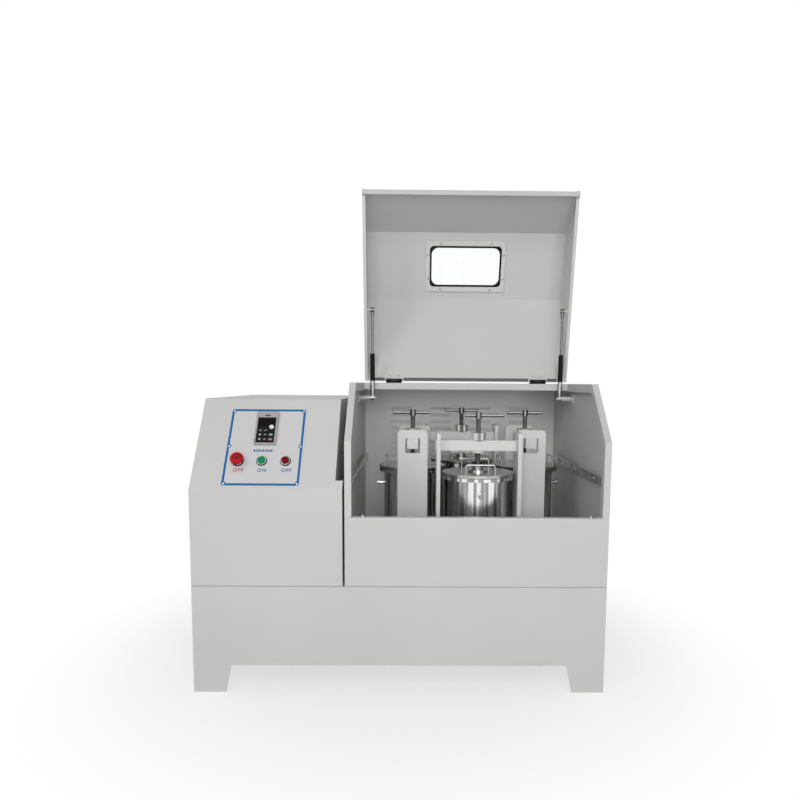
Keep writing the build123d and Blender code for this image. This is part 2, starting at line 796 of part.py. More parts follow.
with BuildPart() as hood_shell:
    shell_section = bent(hood_plane(hood_left), [hood_lip, hood_foot, hood_front, hood_back, hood_rear])
    extrude(shell_section, amount=hood_width)
    # end walls, inside the bent skin
    for x in (hood_left, hood_left + hood_width - sheet):
        with BuildSketch(hood_plane(x)):
            with BuildLine():
                FilletPolyline(hood_foot, hood_front, hood_back, hood_rear, radius=bend_radius)
                Line(hood_rear, hood_foot)
            make_face()
        extrude(amount=sheet)
    # rims folded in along the end walls' free edges
    for x in (hood_left, hood_left + hood_width - hood_rim):
        with BuildSketch(hood_plane(x)):
            Polygon(
                hood_foot,
                hood_rear,
                (hood_rear[0] + rim_inward[0], hood_rear[1] + rim_inward[1]),
                (hood_foot[0] + rim_inward[0], hood_foot[1] + rim_inward[1]),
                align=None,
            )
        extrude(amount=hood_rim)
    # hem under the rear edge, left out at the hinges
    hem_start = hood_left + hood_hem_setback
    leaf_start = hinge_left - hinge_width / 2 - sheet
    leaf_end = hinge_left + hinge_width / 2 + sheet
    for x, length in (
        (hem_start, leaf_start - hem_start),
        (leaf_end, 2 * (chamber_x - leaf_end)),
        (2 * chamber_x - leaf_start, leaf_start - hem_start),
    ):
        with BuildSketch(hood_plane(x)):
            Polygon(
                under_top(hood_rear[0], 0),
                under_top(hood_rear[0], sheet),
                under_top(hood_rear[0] - hood_hem, sheet),
                under_top(hood_rear[0] - hood_hem, 0),
                align=None,
            )
        extrude(amount=length)
    # doubled strip beside the front bend, and the window's opening
    with BuildSketch(slant_inside):
        with Locations((0, slant / 2 - sheet - hood_strip / 2)):
            Rectangle(hood_width - 2 * sheet, hood_strip)
    extrude(amount=sheet / 2)
    with BuildSketch(slant_outside):
        RectangleRounded(window_open_width, window_open_height, window_corner)
    extrude(amount=sheet, mode=Mode.SUBTRACT)
hood_shell.part.label = "hood_shell"
export_step(hood_shell.part, "parts/hood_shell.step")

pocket_width = window_open_width + 2 * pane_overlap
pocket_height = window_open_height + 2 * pane_overlap
with BuildPart() as window_frame:
    with BuildSketch(slant_inside):
        RectangleRounded(window_width, window_height, bend_radius)
        RectangleRounded(window_open_width, window_open_height, window_corner, mode=Mode.SUBTRACT)
    extrude(amount=window_frame_thickness)
    with BuildSketch(slant_inside):
        RectangleRounded(pocket_width, pocket_height, window_corner)
    extrude(amount=pane_thickness, mode=Mode.SUBTRACT)
    rim_face = window_frame.faces().sort_by(Axis(slant_inside.origin, slant_inside.z_dir))[-1]
    chamfer(rim_face.outer_wire().edges(), 1.0)
window_frame.part.label = "window_frame"
export_step(window_frame.part, "parts/window_frame.step")

with BuildPart() as window_pane:
    with BuildSketch(slant_inside):
        RectangleRounded(pocket_width - 2 * seat_gap, pocket_height - 2 * seat_gap, window_corner)
    extrude(amount=pane_thickness)
window_pane.part.label = "window_pane"
export_step(window_pane.part, "parts/window_pane.step")

# ---------------------------------------------------------------- gas struts
strut_x = housing_left + strut_inset
strut_foot = Vector(strut_x, hinge_y - strut_foot_back, hinge_z - strut_foot_drop)
strut_head = Vector(strut_x, hinge_y - strut_head_forward, hinge_z + strut_head_rise)
strut_length = (strut_head - strut_foot).length
strut_side = strut_eye_width / 2 + strut_side_gap


def crosswise(point, distance):
    """The plane square to X through a point, that far along X from it."""
    return Plane(origin=point + Vector(distance, 0, 0), x_dir=(0, 1, 0), z_dir=(1, 0, 0))


# Hinge leaves on the hood, with the studs that the struts' heads stand beside.
with BuildPart() as hood_fittings:
    with BuildSketch(hood_plane(hinge_left - hinge_width / 2)):
        Polygon(
            under_top(-leaf_depth, 0),
            under_top(0, 0),
            under_top(0, leaf_thickness),
            under_top(-leaf_depth, leaf_thickness),
            align=None,
        )
    extrude(amount=hinge_width)
    for x in (-hinge_width / 2, leaf_edge - seat_gap):
        with BuildSketch(hinge_plane.offset(x)):
            Circle(knuckle_radius + 1.5 * seat_gap)
        extrude(amount=knuckle_length + seat_gap, mode=Mode.SUBTRACT)
    with BuildSketch(hinge_plane.offset(-knuckle_length / 2)):
        Circle(knuckle_radius)
    extrude(amount=knuckle_length)
    with BuildSketch(hinge_plane.offset(-hinge_width / 2)):
        Circle(hinge_pin_radius + fit)
    extrude(amount=hinge_width, mode=Mode.SUBTRACT)
    stud_start = hood_left + sheet - strut_x
    with BuildSketch(crosswise(strut_head, stud_start)):
        Circle(stud_flange_radius)
    extrude(amount=2 * sheet)
    with BuildSketch(crosswise(strut_head, stud_start)):
        Circle(stud_radius)
    extrude(amount=-strut_side - stud_start)
    mirror(about=Plane.YZ.offset(chamber_x))
hood_fittings.part.label = "hood_fittings"
export_step(hood_fittings.part, "parts/hood_fittings.step")

with BuildPart() as strut_brackets:
    bracket_start = housing_left + sheet - strut_x
    with BuildSketch(crosswise(strut_foot, bracket_start)):
        RectangleRounded(bracket_width, bracket_height, bend_radius)
    extrude(amount=bracket_plate)
    with BuildSketch(crosswise(strut_foot, bracket_start)):
        Circle(bracket_arm_radius)
    extrude(amount=-strut_side - bracket_start)
    with BuildSketch(crosswise(strut_foot, -strut_side)):
        Circle(strut_pin_radius)
    extrude(amount=2 * strut_side + bracket_plate)
    with BuildSketch(crosswise(strut_foot, strut_side)):
        Circle(strut_pin_radius + sheet)
    extrude(amount=sheet)
    mirror(about=Plane.YZ.offset(chamber_x))
strut_brackets.part.label = "strut_brackets"
export_step(strut_brackets.part, "parts/strut_brackets.step")

for side, shift in (("left", 0.0), ("right", 2 * (chamber_x - strut_x))):
    foot = strut_foot + Vector(shift, 0, 0)
    head = strut_head + Vector(shift, 0, 0)
    strut_plane = Plane(origin=foot, x_dir=(1, 0, 0), z_dir=head - foot)
    with BuildPart() as strut_cylinder:
        cylinder_section = turned(
            strut_plane,
            (0, strut_pin_radius),
            (strut_tube_radius - sheet, strut_pin_radius),
            (strut_tube_radius - sheet, strut_tube_start),
            (strut_tube_radius, strut_tube_start),
            (strut_tube_radius, strut_tube_start + strut_cap_length),
            (strut_tube_radius - 0.5, strut_tube_start + strut_cap_length),
            (strut_tube_radius - 0.5, strut_tube_start + strut_cap_length + 1.0),
            (strut_tube_radius, strut_tube_start + strut_cap_length + 1.0),
            (strut_tube_radius, strut_tube_end - 2.0),
            (strut_tube_radius - 2.0, strut_tube_end),
            (strut_rod_radius + fit, strut_tube_end),
            (strut_rod_radius + fit, strut_tube_floor),
            (0, strut_tube_floor),
        )
        revolve(cylinder_section, axis=axis_of(strut_plane))
        with BuildSketch(crosswise(foot, -strut_eye_width / 2)):
            Circle(strut_eye_radius)
        extrude(amount=strut_eye_width)
        with BuildSketch(crosswise(foot, -strut_eye_width / 2)):
            Circle(strut_pin_radius + fit)
        extrude(amount=strut_eye_width, mode=Mode.SUBTRACT)
    strut_cylinder.part.label = f"strut_cylinder_{side}"
    export_step(strut_cylinder.part, f"parts/strut_cylinder_{side}.step")
    with BuildPart() as strut_rod:
        rod_section = turned(
            strut_plane,
            (0, strut_rod_start),
            (strut_rod_radius, strut_rod_start),
            (strut_rod_radius, strut_length - strut_end_length),
            (strut_tube_radius - sheet, strut_length - strut_end_length),
            (strut_tube_radius - sheet, strut_length - strut_pin_radius),
            (0, strut_length - strut_pin_radius),
        )
        revolve(rod_section, axis=axis_of(strut_plane))
        with BuildSketch(crosswise(head, -strut_eye_width / 2)):
            Circle(strut_eye_radius)
        extrude(amount=strut_eye_width)
    strut_rod.part.label = f"strut_rod_{side}"
    export_step(strut_rod.part, f"parts/strut_rod_{side}.step")

# ---------------------------------------------------------------- drive
bearing_bore = shaft_radius + fit
lower_bearing = bearing_barrel_bottom + sheet
bearing_top = base_height + bearing_flange_thickness
upper_bearing = bearing_top - 2 * sheet - bearing_width
with BuildPart() as main_bearing_housing:
    bearing_section = turned(
        rotor_plane,
        (bearing_bore, lower_bearing),
        (bearing_outer_radius, lower_bearing),
        (bearing_outer_radius, bearing_barrel_bottom),
        (bearing_barrel_radius, bearing_barrel_bottom),
        (bearing_barrel_radius, base_height),
        (bearing_flange_radius, base_height),
        (bearing_flange_radius, bearing_top),
        (bearing_outer_radius, bearing_top),
        (bearing_outer_radius, upper_bearing + bearing_width),
        (bearing_bore, upper_bearing + bearing_width),
        (bearing_bore, upper_bearing),
        (bearing_shoulder_radius, upper_bearing),
        (bearing_shoulder_radius, lower_bearing + bearing_width),
        (bearing_bore, lower_bearing + bearing_width),
    )
    revolve(bearing_section, axis=axis_of(rotor_plane))
main_bearing_housing.part.label = "main_bearing_housing"
export_step(main_bearing_housing.part, "parts/main_bearing_housing.step")

with BuildPart() as sun_gear:
    with BuildSketch(rotor_plane.offset(bearing_top)):
        Circle(hub_radius)
        Circle(sun_bore, mode=Mode.SUBTRACT)
    extrude(amount=gear_level - bearing_top)
    with BuildSketch(rotor_plane.offset(gear_level)):
        Polygon(*gear_outline(0), align=None)
        Circle(sun_bore, mode=Mode.SUBTRACT)
    extrude(amount=gear_thickness)
sun_gear.part.label = "sun_gear"
export_step(sun_gear.part, "parts/sun_gear.step")

with BuildPart() as main_shaft:
    shaft_section = turned(
        rotor_plane,
        (0, shaft_bottom),
        (shaft_radius, shaft_bottom),
        (shaft_radius, carrier_level - hub_thickness),
        (hub_radius, carrier_level - hub_thickness),
        (hub_radius, carrier_level),
        (0, carrier_level),
    )
    revolve(shaft_section, axis=axis_of(rotor_plane))
main_shaft.part.label = "main_shaft"
export_step(main_shaft.part, "parts/main_shaft.step")

first_station = orbit_start - 90.0
with BuildPart() as carrier_disc:
    with BuildSketch(rotor_plane.offset(carrier_level)):
        Circle(carrier_radius)
        with PolarLocations(carrier_window_orbit, stations, first_station + 180.0 / stations):
            Circle(carrier_window_radius, mode=Mode.SUBTRACT)
    extrude(amount=carrier_thickness)
    with BuildSketch(rotor_plane.offset(carrier_level - spindle_boss_drop)):
        with PolarLocations(orbit_radius, stations, first_station):
            Circle(spindle_boss_radius)
    extrude(amount=spindle_boss_drop + carrier_thickness + spindle_boss_rise)
    with BuildSketch(rotor_plane.offset(carrier_level + carrier_thickness)):
        Circle(centre_boss_radius)
    extrude(amount=centre_boss_height)
    chamfer(carrier_disc.faces().sort_by(Axis.Z)[-1].edges(), 2.0)
    with BuildSketch(rotor_plane.offset(carrier_level - spindle_boss_drop)):
        with PolarLocations(orbit_radius, stations, first_station):
            Circle(spindle_radius + fit)
    extrude(amount=spindle_boss_drop + carrier_thickness + spindle_boss_rise, mode=Mode.SUBTRACT)
carrier_disc.part.label = "carrier_disc"
export_step(carrier_disc.part, "parts/carrier_disc.step")

groove_slope = tan(radians(groove_angle / 2))
groove_half = belt_top_width / 2 + belt_gap / cos(radians(groove_angle / 2))
belt_levels = [pulley_level + (pulley_height - belt_pitch) / 2, pulley_level + (pulley_height + belt_pitch) / 2]


def grooved_rim(radius):
    """Section of a pulley's rim from its lower face to its upper one, with a V groove for each belt."""
    rim = [(radius, pulley_level)]
    for level in belt_levels:
        half_floor = groove_half - groove_depth * groove_slope
        rim.append((radius, level - groove_half))
        rim.append((radius - groove_depth, level - half_floor))
        rim.append((radius - groove_depth, level + half_floor))
        rim.append((radius, level + groove_half))
    rim.append((radius, pulley_level + pulley_height))
    return rim


rim_inside = driven_pulley_radius - 1.6 * groove_depth
web_low = pulley_level + pulley_height / 3
web_high = pulley_level + pulley_height * 2 / 3
with BuildPart() as driven_pulley:
    pulley_section = turned(
        rotor_plane,
        (shaft_radius, pulley_level),
        (bearing_outer_radius, pulley_level),
        (bearing_outer_radius, web_low),
        (rim_inside, web_low),
        (rim_inside, pulley_level),
        *grooved_rim(driven_pulley_radius),
        (rim_inside, pulley_level + pulley_height),
        (rim_inside, web_high),
        (bearing_outer_radius, web_high),
        (bearing_outer_radius, pulley_level + pulley_height),
        (shaft_radius, pulley_level + pulley_height),
    )
    revolve(pulley_section, axis=axis_of(rotor_plane))
driven_pulley.part.label = "driven_pulley"
export_step(driven_pulley.part, "parts/driven_pulley.step")

motor_seat = shelf_level + shelf_thickness
with BuildPart() as motor_pulley:
    motor_section = turned(
        motor_plane,
        (0, pulley_level),
        *grooved_rim(motor_pulley_radius),
        (motor_shaft_radius, pulley_level + pulley_height),
        (motor_shaft_radius, motor_seat + motor_flange_thickness - 3.0),
        (0, motor_seat + motor_flange_thickness - 3.0),
    )
    revolve(motor_section, axis=axis_of(motor_plane))
motor_pulley.part.label = "motor_pulley"
export_step(motor_pulley.part, "parts/motor_pulley.step")

body_start = motor_seat + motor_flange_thickness
with BuildPart() as drive_motor:
    with BuildSketch(motor_plane.offset(motor_seat)):
        Circle(motor_flange_radius)
    extrude(amount=motor_flange_thickness)
    with BuildSketch(motor_plane.offset(body_start)):
        Circle(motor_radius)
        with PolarLocations(motor_radius + motor_fin / 2 - 1.0, motor_fins):
            Rectangle(motor_fin + 2.0, 4.0)
    extrude(amount=motor_length)
    with BuildSketch(motor_plane.offset(body_start + motor_length)):
        Circle(motor_radius + motor_fin)
    extrude(amount=fan_cover_length)
    fillet(drive_motor.faces().sort_by(Axis.Z)[-1].edges(), 2 * bend_radius)
    with BuildSketch(across(motor_plane, motor_radius - motor_fin)):
        with Locations((0, body_start + motor_length / 2)):
            RectangleRounded(terminal_box_width, terminal_box_length, bend_radius)
    extrude(amount=terminal_box_height)
    with BuildSketch(motor_plane.offset(motor_seat)):
        Circle(motor_shaft_radius + fit)
    extrude(amount=motor_flange_thickness - 2.0, mode=Mode.SUBTRACT)
drive_motor.part.label = "drive_motor"
export_step(drive_motor.part, "parts/drive_motor.step")

axis_distance = rotor_x - motor_x
wrap = degrees(asin((driven_pulley_radius - motor_pulley_radius) / axis_distance))
contact = 90.0 + wrap
outward = Vector(cos(radians(contact)), sin(radians(contact)), 0)
belt_inner_half = belt_top_width / 2 - belt_depth * groove_slope
with BuildPart() as drive_belts:
    for level in belt_levels:
        motor_centre = Vector(motor_x, rotor_y, level)
        rotor_centre = Vector(rotor_x, rotor_y, level)
        upper_motor = motor_centre + outward * motor_pulley_radius
        upper_rotor = rotor_centre + outward * driven_pulley_radius
        below = Vector(outward.X, -outward.Y, 0)
        lower_motor = motor_centre + below * motor_pulley_radius
        lower_rotor = rotor_centre + below * driven_pulley_radius
        with BuildLine() as loop:
            Line(upper_motor, upper_rotor)
            CenterArc(rotor_centre, driven_pulley_radius, contact, -2 * contact)
            Line(lower_rotor, lower_motor)
            CenterArc(motor_centre, motor_pulley_radius, -contact, 2 * contact - 360.0)
        with BuildSketch(Plane(origin=upper_motor, x_dir=outward, z_dir=upper_rotor - upper_motor)):
            Polygon(
                (0, -belt_top_width / 2),
                (0, belt_top_width / 2),
                (-belt_depth, belt_inner_half),
                (-belt_depth, -belt_inner_half),
                align=None,
            )
        sweep()
drive_belts.part.label = "drive_belts"
export_step(drive_belts.part, "parts/drive_belts.step")

# ---------------------------------------------------------------- the four grinding stations
jar_inner = jar_radius - jar_wall
bore_radius = screw_radius + fit
frame_middle = (frame_base + frame_top) / 2
slot_middle = crossbar_top + seat_gap - slot_height / 2
for station in range(stations):
    number = station + 1
    bearing = radians(first_station + station * 360.0 / stations)
    quarter = station * 2 * pi / stations
    station_x = rotor_x + orbit_radius * cos(bearing)
    station_y = rotor_y + orbit_radius * sin(bearing)
    station_plane = Plane(
        origin=(station_x, station_y, 0),
        x_dir=(cos(quarter), sin(quarter), 0),
        z_dir=(0, 0, 1),
    )
    spin_axis = axis_of(station_plane)

    # Fork: two slotted plates on a base, a locating ring, the spindle and its planet gear.
    with BuildPart() as jar_frame:
        with BuildSketch(across(station_plane, -frame_half_length)) as plate_outline:
            with Locations((0, frame_middle)):
                Rectangle(frame_plate_width, frame_top - frame_base)
            fillet(plate_outline.vertices().group_by(Axis.Y)[-1], frame_top_radius)
            with Locations((0, slot_middle)):
                RectangleRounded(slot_width, slot_height, 3.0, mode=Mode.SUBTRACT)
        extrude(amount=frame_plate_thickness)
        mirror(about=across(station_plane, 0))
        with BuildSketch(station_plane.offset(frame_base)):
            Circle(frame_base_radius)
            Rectangle(2 * frame_half_length, frame_plate_width)
        extrude(amount=frame_base_thickness)
        with BuildSketch(station_plane.offset(jar_level)):
            Circle(jar_radius + 2 * fit + locating_ring_width)
            Circle(jar_radius + 2 * fit, mode=Mode.SUBTRACT)
        extrude(amount=locating_ring_height)
        with BuildSketch(station_plane.offset(spindle_seat)):
            Circle(spindle_flange_radius)
        extrude(amount=spindle_flange_thickness)
        with BuildSketch(station_plane.offset(gear_level)):
            Circle(spindle_radius)
        extrude(amount=spindle_seat - gear_level)
        with BuildSketch(station_plane.offset(gear_level)):
            tooth = 2 * bearing + pi + pi / gear_teeth - quarter
            Polygon(*gear_outline(tooth), align=None)
        extrude(amount=gear_thickness)
    jar_frame.part.label = f"jar_frame_{number}"
    export_step(jar_frame.part, f"parts/jar_frame_{number}.step")

    with BuildPart() as crossbar:
        with BuildSketch(across(station_plane, -crossbar_length / 2)):
            with Locations((0, crossbar_level + crossbar_height / 2)):
                Rectangle(crossbar_width, crossbar_height)
        extrude(amount=crossbar_length)
        chamfer(crossbar.edges().filter_by(Axis(station_plane.origin, station_plane.x_dir)), crossbar_chamfer)
        with BuildSketch(station_plane.offset(crossbar_level)):
            Circle(crossbar_boss_radius)
        extrude(amount=-crossbar_boss_height)
        with BuildSketch(station_plane.offset(crossbar_top)):
            RegularPolygon(nut_width / 2, 6, major_radius=False)
        extrude(amount=nut_height)
        with BuildSketch(station_plane.offset(crossbar_level - crossbar_boss_height)):
            Circle(bore_radius)
        extrude(amount=crossbar_boss_height + crossbar_height + nut_height, mode=Mode.SUBTRACT)
    crossbar.part.label = f"crossbar_{number}"
    export_step(crossbar.part, f"parts/crossbar_{number}.step")

    outward_plane = Plane(
        origin=(station_x, station_y, jar_top - valve_drop),
        x_dir=station_plane.x_dir,
        z_dir=-station_plane.y_dir,
    )
    with BuildPart() as milling_jar:
        jar_section = turned(
            station_plane,
            (0, jar_level),
            (jar_radius - 3.0, jar_level),
            (jar_radius, jar_level + 3.0),
            (jar_radius, jar_top - jar_flange_thickness),
            (jar_flange_radius, jar_top - jar_flange_thickness),
            (jar_flange_radius, jar_top),
            (jar_inner, jar_top),
            (jar_inner, jar_level + jar_bottom + 6.0),
            (jar_inner - 6.0, jar_level + jar_bottom),
            (0, jar_level + jar_bottom),
        )
        revolve(jar_section, axis=spin_axis)
        with BuildSketch(outward_plane.offset(jar_radius - jar_wall / 2)):
            Circle(valve_radius)
        extrude(amount=jar_wall / 2 + valve_length)
        with BuildSketch(outward_plane.offset(jar_radius + valve_length)):
            Circle(valve_cap_radius)
        extrude(amount=valve_cap_length)
    milling_jar.part.label = f"milling_jar_{number}"
    export_step(milling_jar.part, f"parts/milling_jar_{number}.step")

    with BuildPart() as jar_lid:
        lid_section = turned(
            station_plane,
            (0, jar_top - lid_spigot),
            (jar_inner - fit, jar_top - lid_spigot),
            (jar_inner - fit, jar_top),
            (jar_flange_radius, jar_top),
            (jar_flange_radius, lid_top - 1.0),
            (jar_flange_radius - 1.0, lid_top),
            (lid_hub_radius, lid_top),
            (lid_hub_radius, lid_top + lid_hub_height),
            (0, lid_top + lid_hub_height),
        )
        revolve(lid_section, axis=spin_axis)
        for offset_y in (-handle_offset, handle_offset):
            handle_plane = upright(Plane(
                origin=station_plane.origin + station_plane.y_dir * offset_y + Vector(0, 0, lid_top),
                x_dir=station_plane.x_dir,
                z_dir=(0, 0, 1),
            ))
            half = handle_span / 2
            with BuildLine(handle_plane):
                FilletPolyline(
                    (-half, -3.0),
                    (-half, handle_height),
                    (half, handle_height),
                    (half, -3.0),
                    radius=handle_bend,
                )
            foot_place = handle_plane.from_local_coords(Vector(-half, -3.0, 0))
            with BuildSketch(Plane(origin=foot_place, x_dir=station_plane.x_dir, z_dir=(0, 0, 1))):
                Circle(handle_wire_radius)
            sweep()
    jar_lid.part.label = f"jar_lid_{number}"
    export_step(jar_lid.part, f"parts/jar_lid_{number}.step")

    with BuildPart() as pressure_foot:
        foot_section = turned(
            station_plane,
            (0, foot_level),
            (foot_radius, foot_level),
            (foot_radius, foot_level + 5.0),
            (foot_top_radius, foot_level + foot_height),
            (bore_radius, foot_level + foot_height),
            (bore_radius, foot_level + foot_height - foot_socket_depth),
            (0, foot_level + foot_height - foot_socket_depth),
        )
        revolve(foot_section, axis=spin_axis)
    pressure_foot.part.label = f"pressure_foot_{number}"
    export_step(pressure_foot.part, f"parts/pressure_foot_{number}.step")

    with BuildPart() as clamp_screw:
        screw_section = turned(
            station_plane,
            (0, screw_bottom),
            (screw_radius, screw_bottom),
            (screw_radius, tee_height - tee_hub_height / 2),
            (tee_hub_radius, tee_height - tee_hub_height / 2),
            (tee_hub_radius, tee_height + tee_hub_height / 2 - 1.5),
            (tee_hub_radius - 1.5, tee_height + tee_hub_height / 2),
            (0, tee_height + tee_hub_height / 2),
        )
        revolve(screw_section, axis=spin_axis)
        bar_start = station_x + tee_bar_shifts[station] - tee_bar_length / 2
        with BuildSketch(Plane(origin=(bar_start, station_y, tee_height), x_dir=(0, 1, 0), z_dir=(1, 0, 0))):
            Circle(tee_bar_radius)
        extrude(amount=tee_bar_length)
        bar_ends = clamp_screw.faces().filter_by(GeomType.PLANE).filter_by(Axis.X)
        fillet(bar_ends.edges(), 1.5)
    clamp_screw.part.label = f"clamp_screw_{number}"
    export_step(clamp_screw.part, f"parts/clamp_screw_{number}.step")
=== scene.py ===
"""Looks of a floor-standing planetary ball mill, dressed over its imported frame.

Lengths in the dataclasses are millimetres in the row frame: the origin is on the floor under the middle of
the machine, +X right, +Y to the rear and +Z up. Meshes are made in metres.
"""

import logging
import math
from dataclasses import dataclass, field
from enum import Enum
from typing import Protocol

import bmesh
import bpy
from mathutils import Matrix, Vector


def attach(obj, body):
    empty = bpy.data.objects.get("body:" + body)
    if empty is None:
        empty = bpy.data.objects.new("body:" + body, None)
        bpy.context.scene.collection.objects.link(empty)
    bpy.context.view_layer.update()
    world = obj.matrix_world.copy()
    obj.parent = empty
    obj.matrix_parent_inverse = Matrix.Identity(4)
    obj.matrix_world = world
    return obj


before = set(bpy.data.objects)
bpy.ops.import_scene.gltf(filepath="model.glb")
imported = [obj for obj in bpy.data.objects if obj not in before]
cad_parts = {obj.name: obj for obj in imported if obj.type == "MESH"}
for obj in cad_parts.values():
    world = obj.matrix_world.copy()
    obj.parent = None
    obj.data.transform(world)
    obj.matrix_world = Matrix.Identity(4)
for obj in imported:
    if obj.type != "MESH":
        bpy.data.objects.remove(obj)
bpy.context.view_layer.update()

MM = 0.001
WHITE = (1.0, 1.0, 1.0, 1.0)
NOISE_RANGE = (0.3, 0.7)
log = logging.getLogger("ball_mill")


def place(origin: tuple, x_dir: tuple = (1, 0, 0), z_dir: tuple = (0, 0, 1)) -> Matrix:
    """Makes the matrix of a work plane.

    Args:
        origin: the plane's origin in millimetres.
        x_dir: direction of its local x.
        z_dir: direction of its normal.

    Returns:
        A matrix from local metres to the row frame.
    """
    normal = Vector(z_dir).normalized()
    along = Vector(x_dir).normalized()
    side = normal.cross(along)
    matrix = Matrix((along, side, normal)).transposed().to_4x4()
    matrix.translation = Vector(origin) * MM
    return matrix


def linear(red: int, green: int, blue: int) -> tuple:
    """Turns an 8-bit display colour into the linear one that a shader takes.

    Args:
        red: red, 0 to 255.
        green: green, 0 to 255.
        blue: blue, 0 to 255.

    Returns:
        The linear colour with an alpha of 1.
    """
    parts = []
    for part in (red, green, blue):
        value = part / 255
        parts.append(value / 12.92 if value <= 0.04045 else ((value + 0.055) / 1.055) ** 2.4)
    return (*parts, 1.0)


def scaled(colour: tuple, factor: float) -> tuple:
    """Lightens or darkens a linear colour.

    Args:
        colour: the linear colour.
        factor: what its three parts are multiplied by.

    Returns:
        The new colour, with an alpha of 1.
    """
    return tuple(min(1.0, part * factor) for part in colour[:3]) + (1.0,)


# ---------------------------------------------------------------- finishes
class Grain(Enum):
    """Direction in which a metal was brushed, rolled or turned."""

    ALONG_Y = (60.0, 2.0, 60.0)
    ALONG_Z = (60.0, 60.0, 2.0)
    NONE = (30.0, 30.0, 30.0)


class Shader:
    """A material's node tree, with short calls that add and join nodes."""

    def __init__(self, name: str) -> None:
        """Starts a material that holds only a Principled shader and its output.

        Args:
            name: the material's name.
        """
        self.material = bpy.data.materials.new(name)
        self.material.use_nodes = True
        self.tree = self.material.node_tree
        self.surface = self.tree.nodes["Principled BSDF"]
        self.place_node = self.tree.nodes.new("ShaderNodeTexCoord")

    def add(self, kind: str, **values) -> bpy.types.Node:
        """Adds a node.

        Args:
            kind: the node's type without the ShaderNode prefix.
            **values: its properties, or its inputs by lower-case name.

        Returns:
            The new node.
        """
        node = self.tree.nodes.new("ShaderNode" + kind)
        for key, value in values.items():
            if hasattr(node, key) and key not in ("scale", "color"):
                setattr(node, key, value)
            else:
                node.inputs[key.replace("_", " ").title()].default_value = value
        return node

    def join(self, source: bpy.types.NodeSocket, target: bpy.types.NodeSocket) -> None:
        """Links one socket to another."""
        self.tree.links.new(source, target)

    def stretched(self, scale: tuple) -> bpy.types.NodeSocket:
        """Gives object coordinates multiplied by a scale along each axis.

        Args:
            scale: the factors along x, y and z.

        Returns:
            The coordinates' socket.
        """
        node = self.add("Mapping")
        node.inputs["Scale"].default_value = scale
        self.join(self.place_node.outputs["Object"], node.inputs["Vector"])
        return node.outputs["Vector"]

    def noise(
        self, scale: float, detail: float = 3.0, stretch: tuple = (1, 1, 1)
    ) -> bpy.types.NodeSocket:
        """Adds a noise.

        Args:
            scale: its scale, in features per metre.
            detail: its octaves.
            stretch: how the coordinates are scaled along each axis first.

        Returns:
            The noise's factor.
        """
        node = self.add("TexNoise")
        node.inputs["Scale"].default_value = scale
        node.inputs["Detail"].default_value = detail
        self.join(self.stretched(stretch), node.inputs["Vector"])
        return node.outputs["Fac"]

    def between(
        self, factor: bpy.types.NodeSocket, low: tuple, high: tuple, ends: tuple = NOISE_RANGE
    ) -> bpy.types.NodeSocket:
        """Blends two colours by a factor.

        Args:
            factor: the factor's socket.
            low: colour at the ramp's start.
            high: colour at its end.
            ends: where on the factor the ramp starts and ends.

        Returns:
            The colour's socket.
        """
        node = self.add("ValToRGB")
        node.color_ramp.elements[0].position = ends[0]
        node.color_ramp.elements[0].color = low
        node.color_ramp.elements[1].position = ends[1]
        node.color_ramp.elements[1].color = high
        self.join(factor, node.inputs["Fac"])
        return node.outputs["Color"]

    def ranged(self, factor: bpy.types.NodeSocket, low: float, high: float) -> bpy.types.NodeSocket:
        """Maps a factor's middle part onto a range of values.

        Args:
            factor: the factor's socket.
            low: value at the part's start.
            high: value at its end.

        Returns:
            The value's socket.
        """
        node = self.add("MapRange")
        node.inputs["From Min"].default_value, node.inputs["From Max"].default_value = NOISE_RANGE
        node.inputs["To Min"].default_value = low
        node.inputs["To Max"].default_value = high
        self.join(factor, node.inputs["Value"])
        return node.outputs["Result"]

    def bump(self, height: bpy.types.NodeSocket, strength: float, distance: float) -> None:
        """Raises the surface by a height, on top of any earlier bump.

        Args:
            height: the height's socket.
            strength: how much of it counts, up to 1.
            distance: the height in metres at a value of 1.
        """
        node = self.add("Bump")
        node.inputs["Strength"].default_value = strength
        node.inputs["Distance"].default_value = distance
        self.join(height, node.inputs["Height"])
        earlier = self.surface.inputs["Normal"].links
        if earlier:
            self.join(earlier[0].from_socket, node.inputs["Normal"])
        self.join(node.outputs["Normal"], self.surface.inputs["Normal"])

    def colour(self, source: bpy.types.NodeSocket) -> None:
        """Joins a colour to the surface."""
        self.join(source, self.surface.inputs["Base Color"])

    def rough(self, factor: bpy.types.NodeSocket, low: float, high: float) -> None:
        """Joins a roughness that a factor moves between two values."""
        self.join(self.ranged(factor, low, high), self.surface.inputs["Roughness"])


class Surface(Protocol):
    """What every finish offers."""

    name: str

    def material(self) -> bpy.types.Material:
        """Builds the finish."""


@dataclass(frozen=True)
class PowderCoat:
    """Satin paint baked on sheet metal: faint orange peel, slight unevenness and dust."""

    name: str
    colour: tuple
    roughness: float = 0.42
    unevenness: float = 0.03
    peel: float = 0.00012

    def material(self) -> bpy.types.Material:
        """Builds the paint.

        Returns:
            The material.
        """
        shader = Shader(self.name)
        broad = shader.noise(2.2, 4.0)
        fine = shader.noise(420.0, 2.0)
        low, high = scaled(self.colour, 1 - self.unevenness), scaled(self.colour, 1 + self.unevenness)
        shader.colour(shader.between(broad, low, high))
        shader.rough(fine, self.roughness - 0.05, self.roughness + 0.06)
        shader.bump(fine, 0.35, self.peel)
        return shader.material


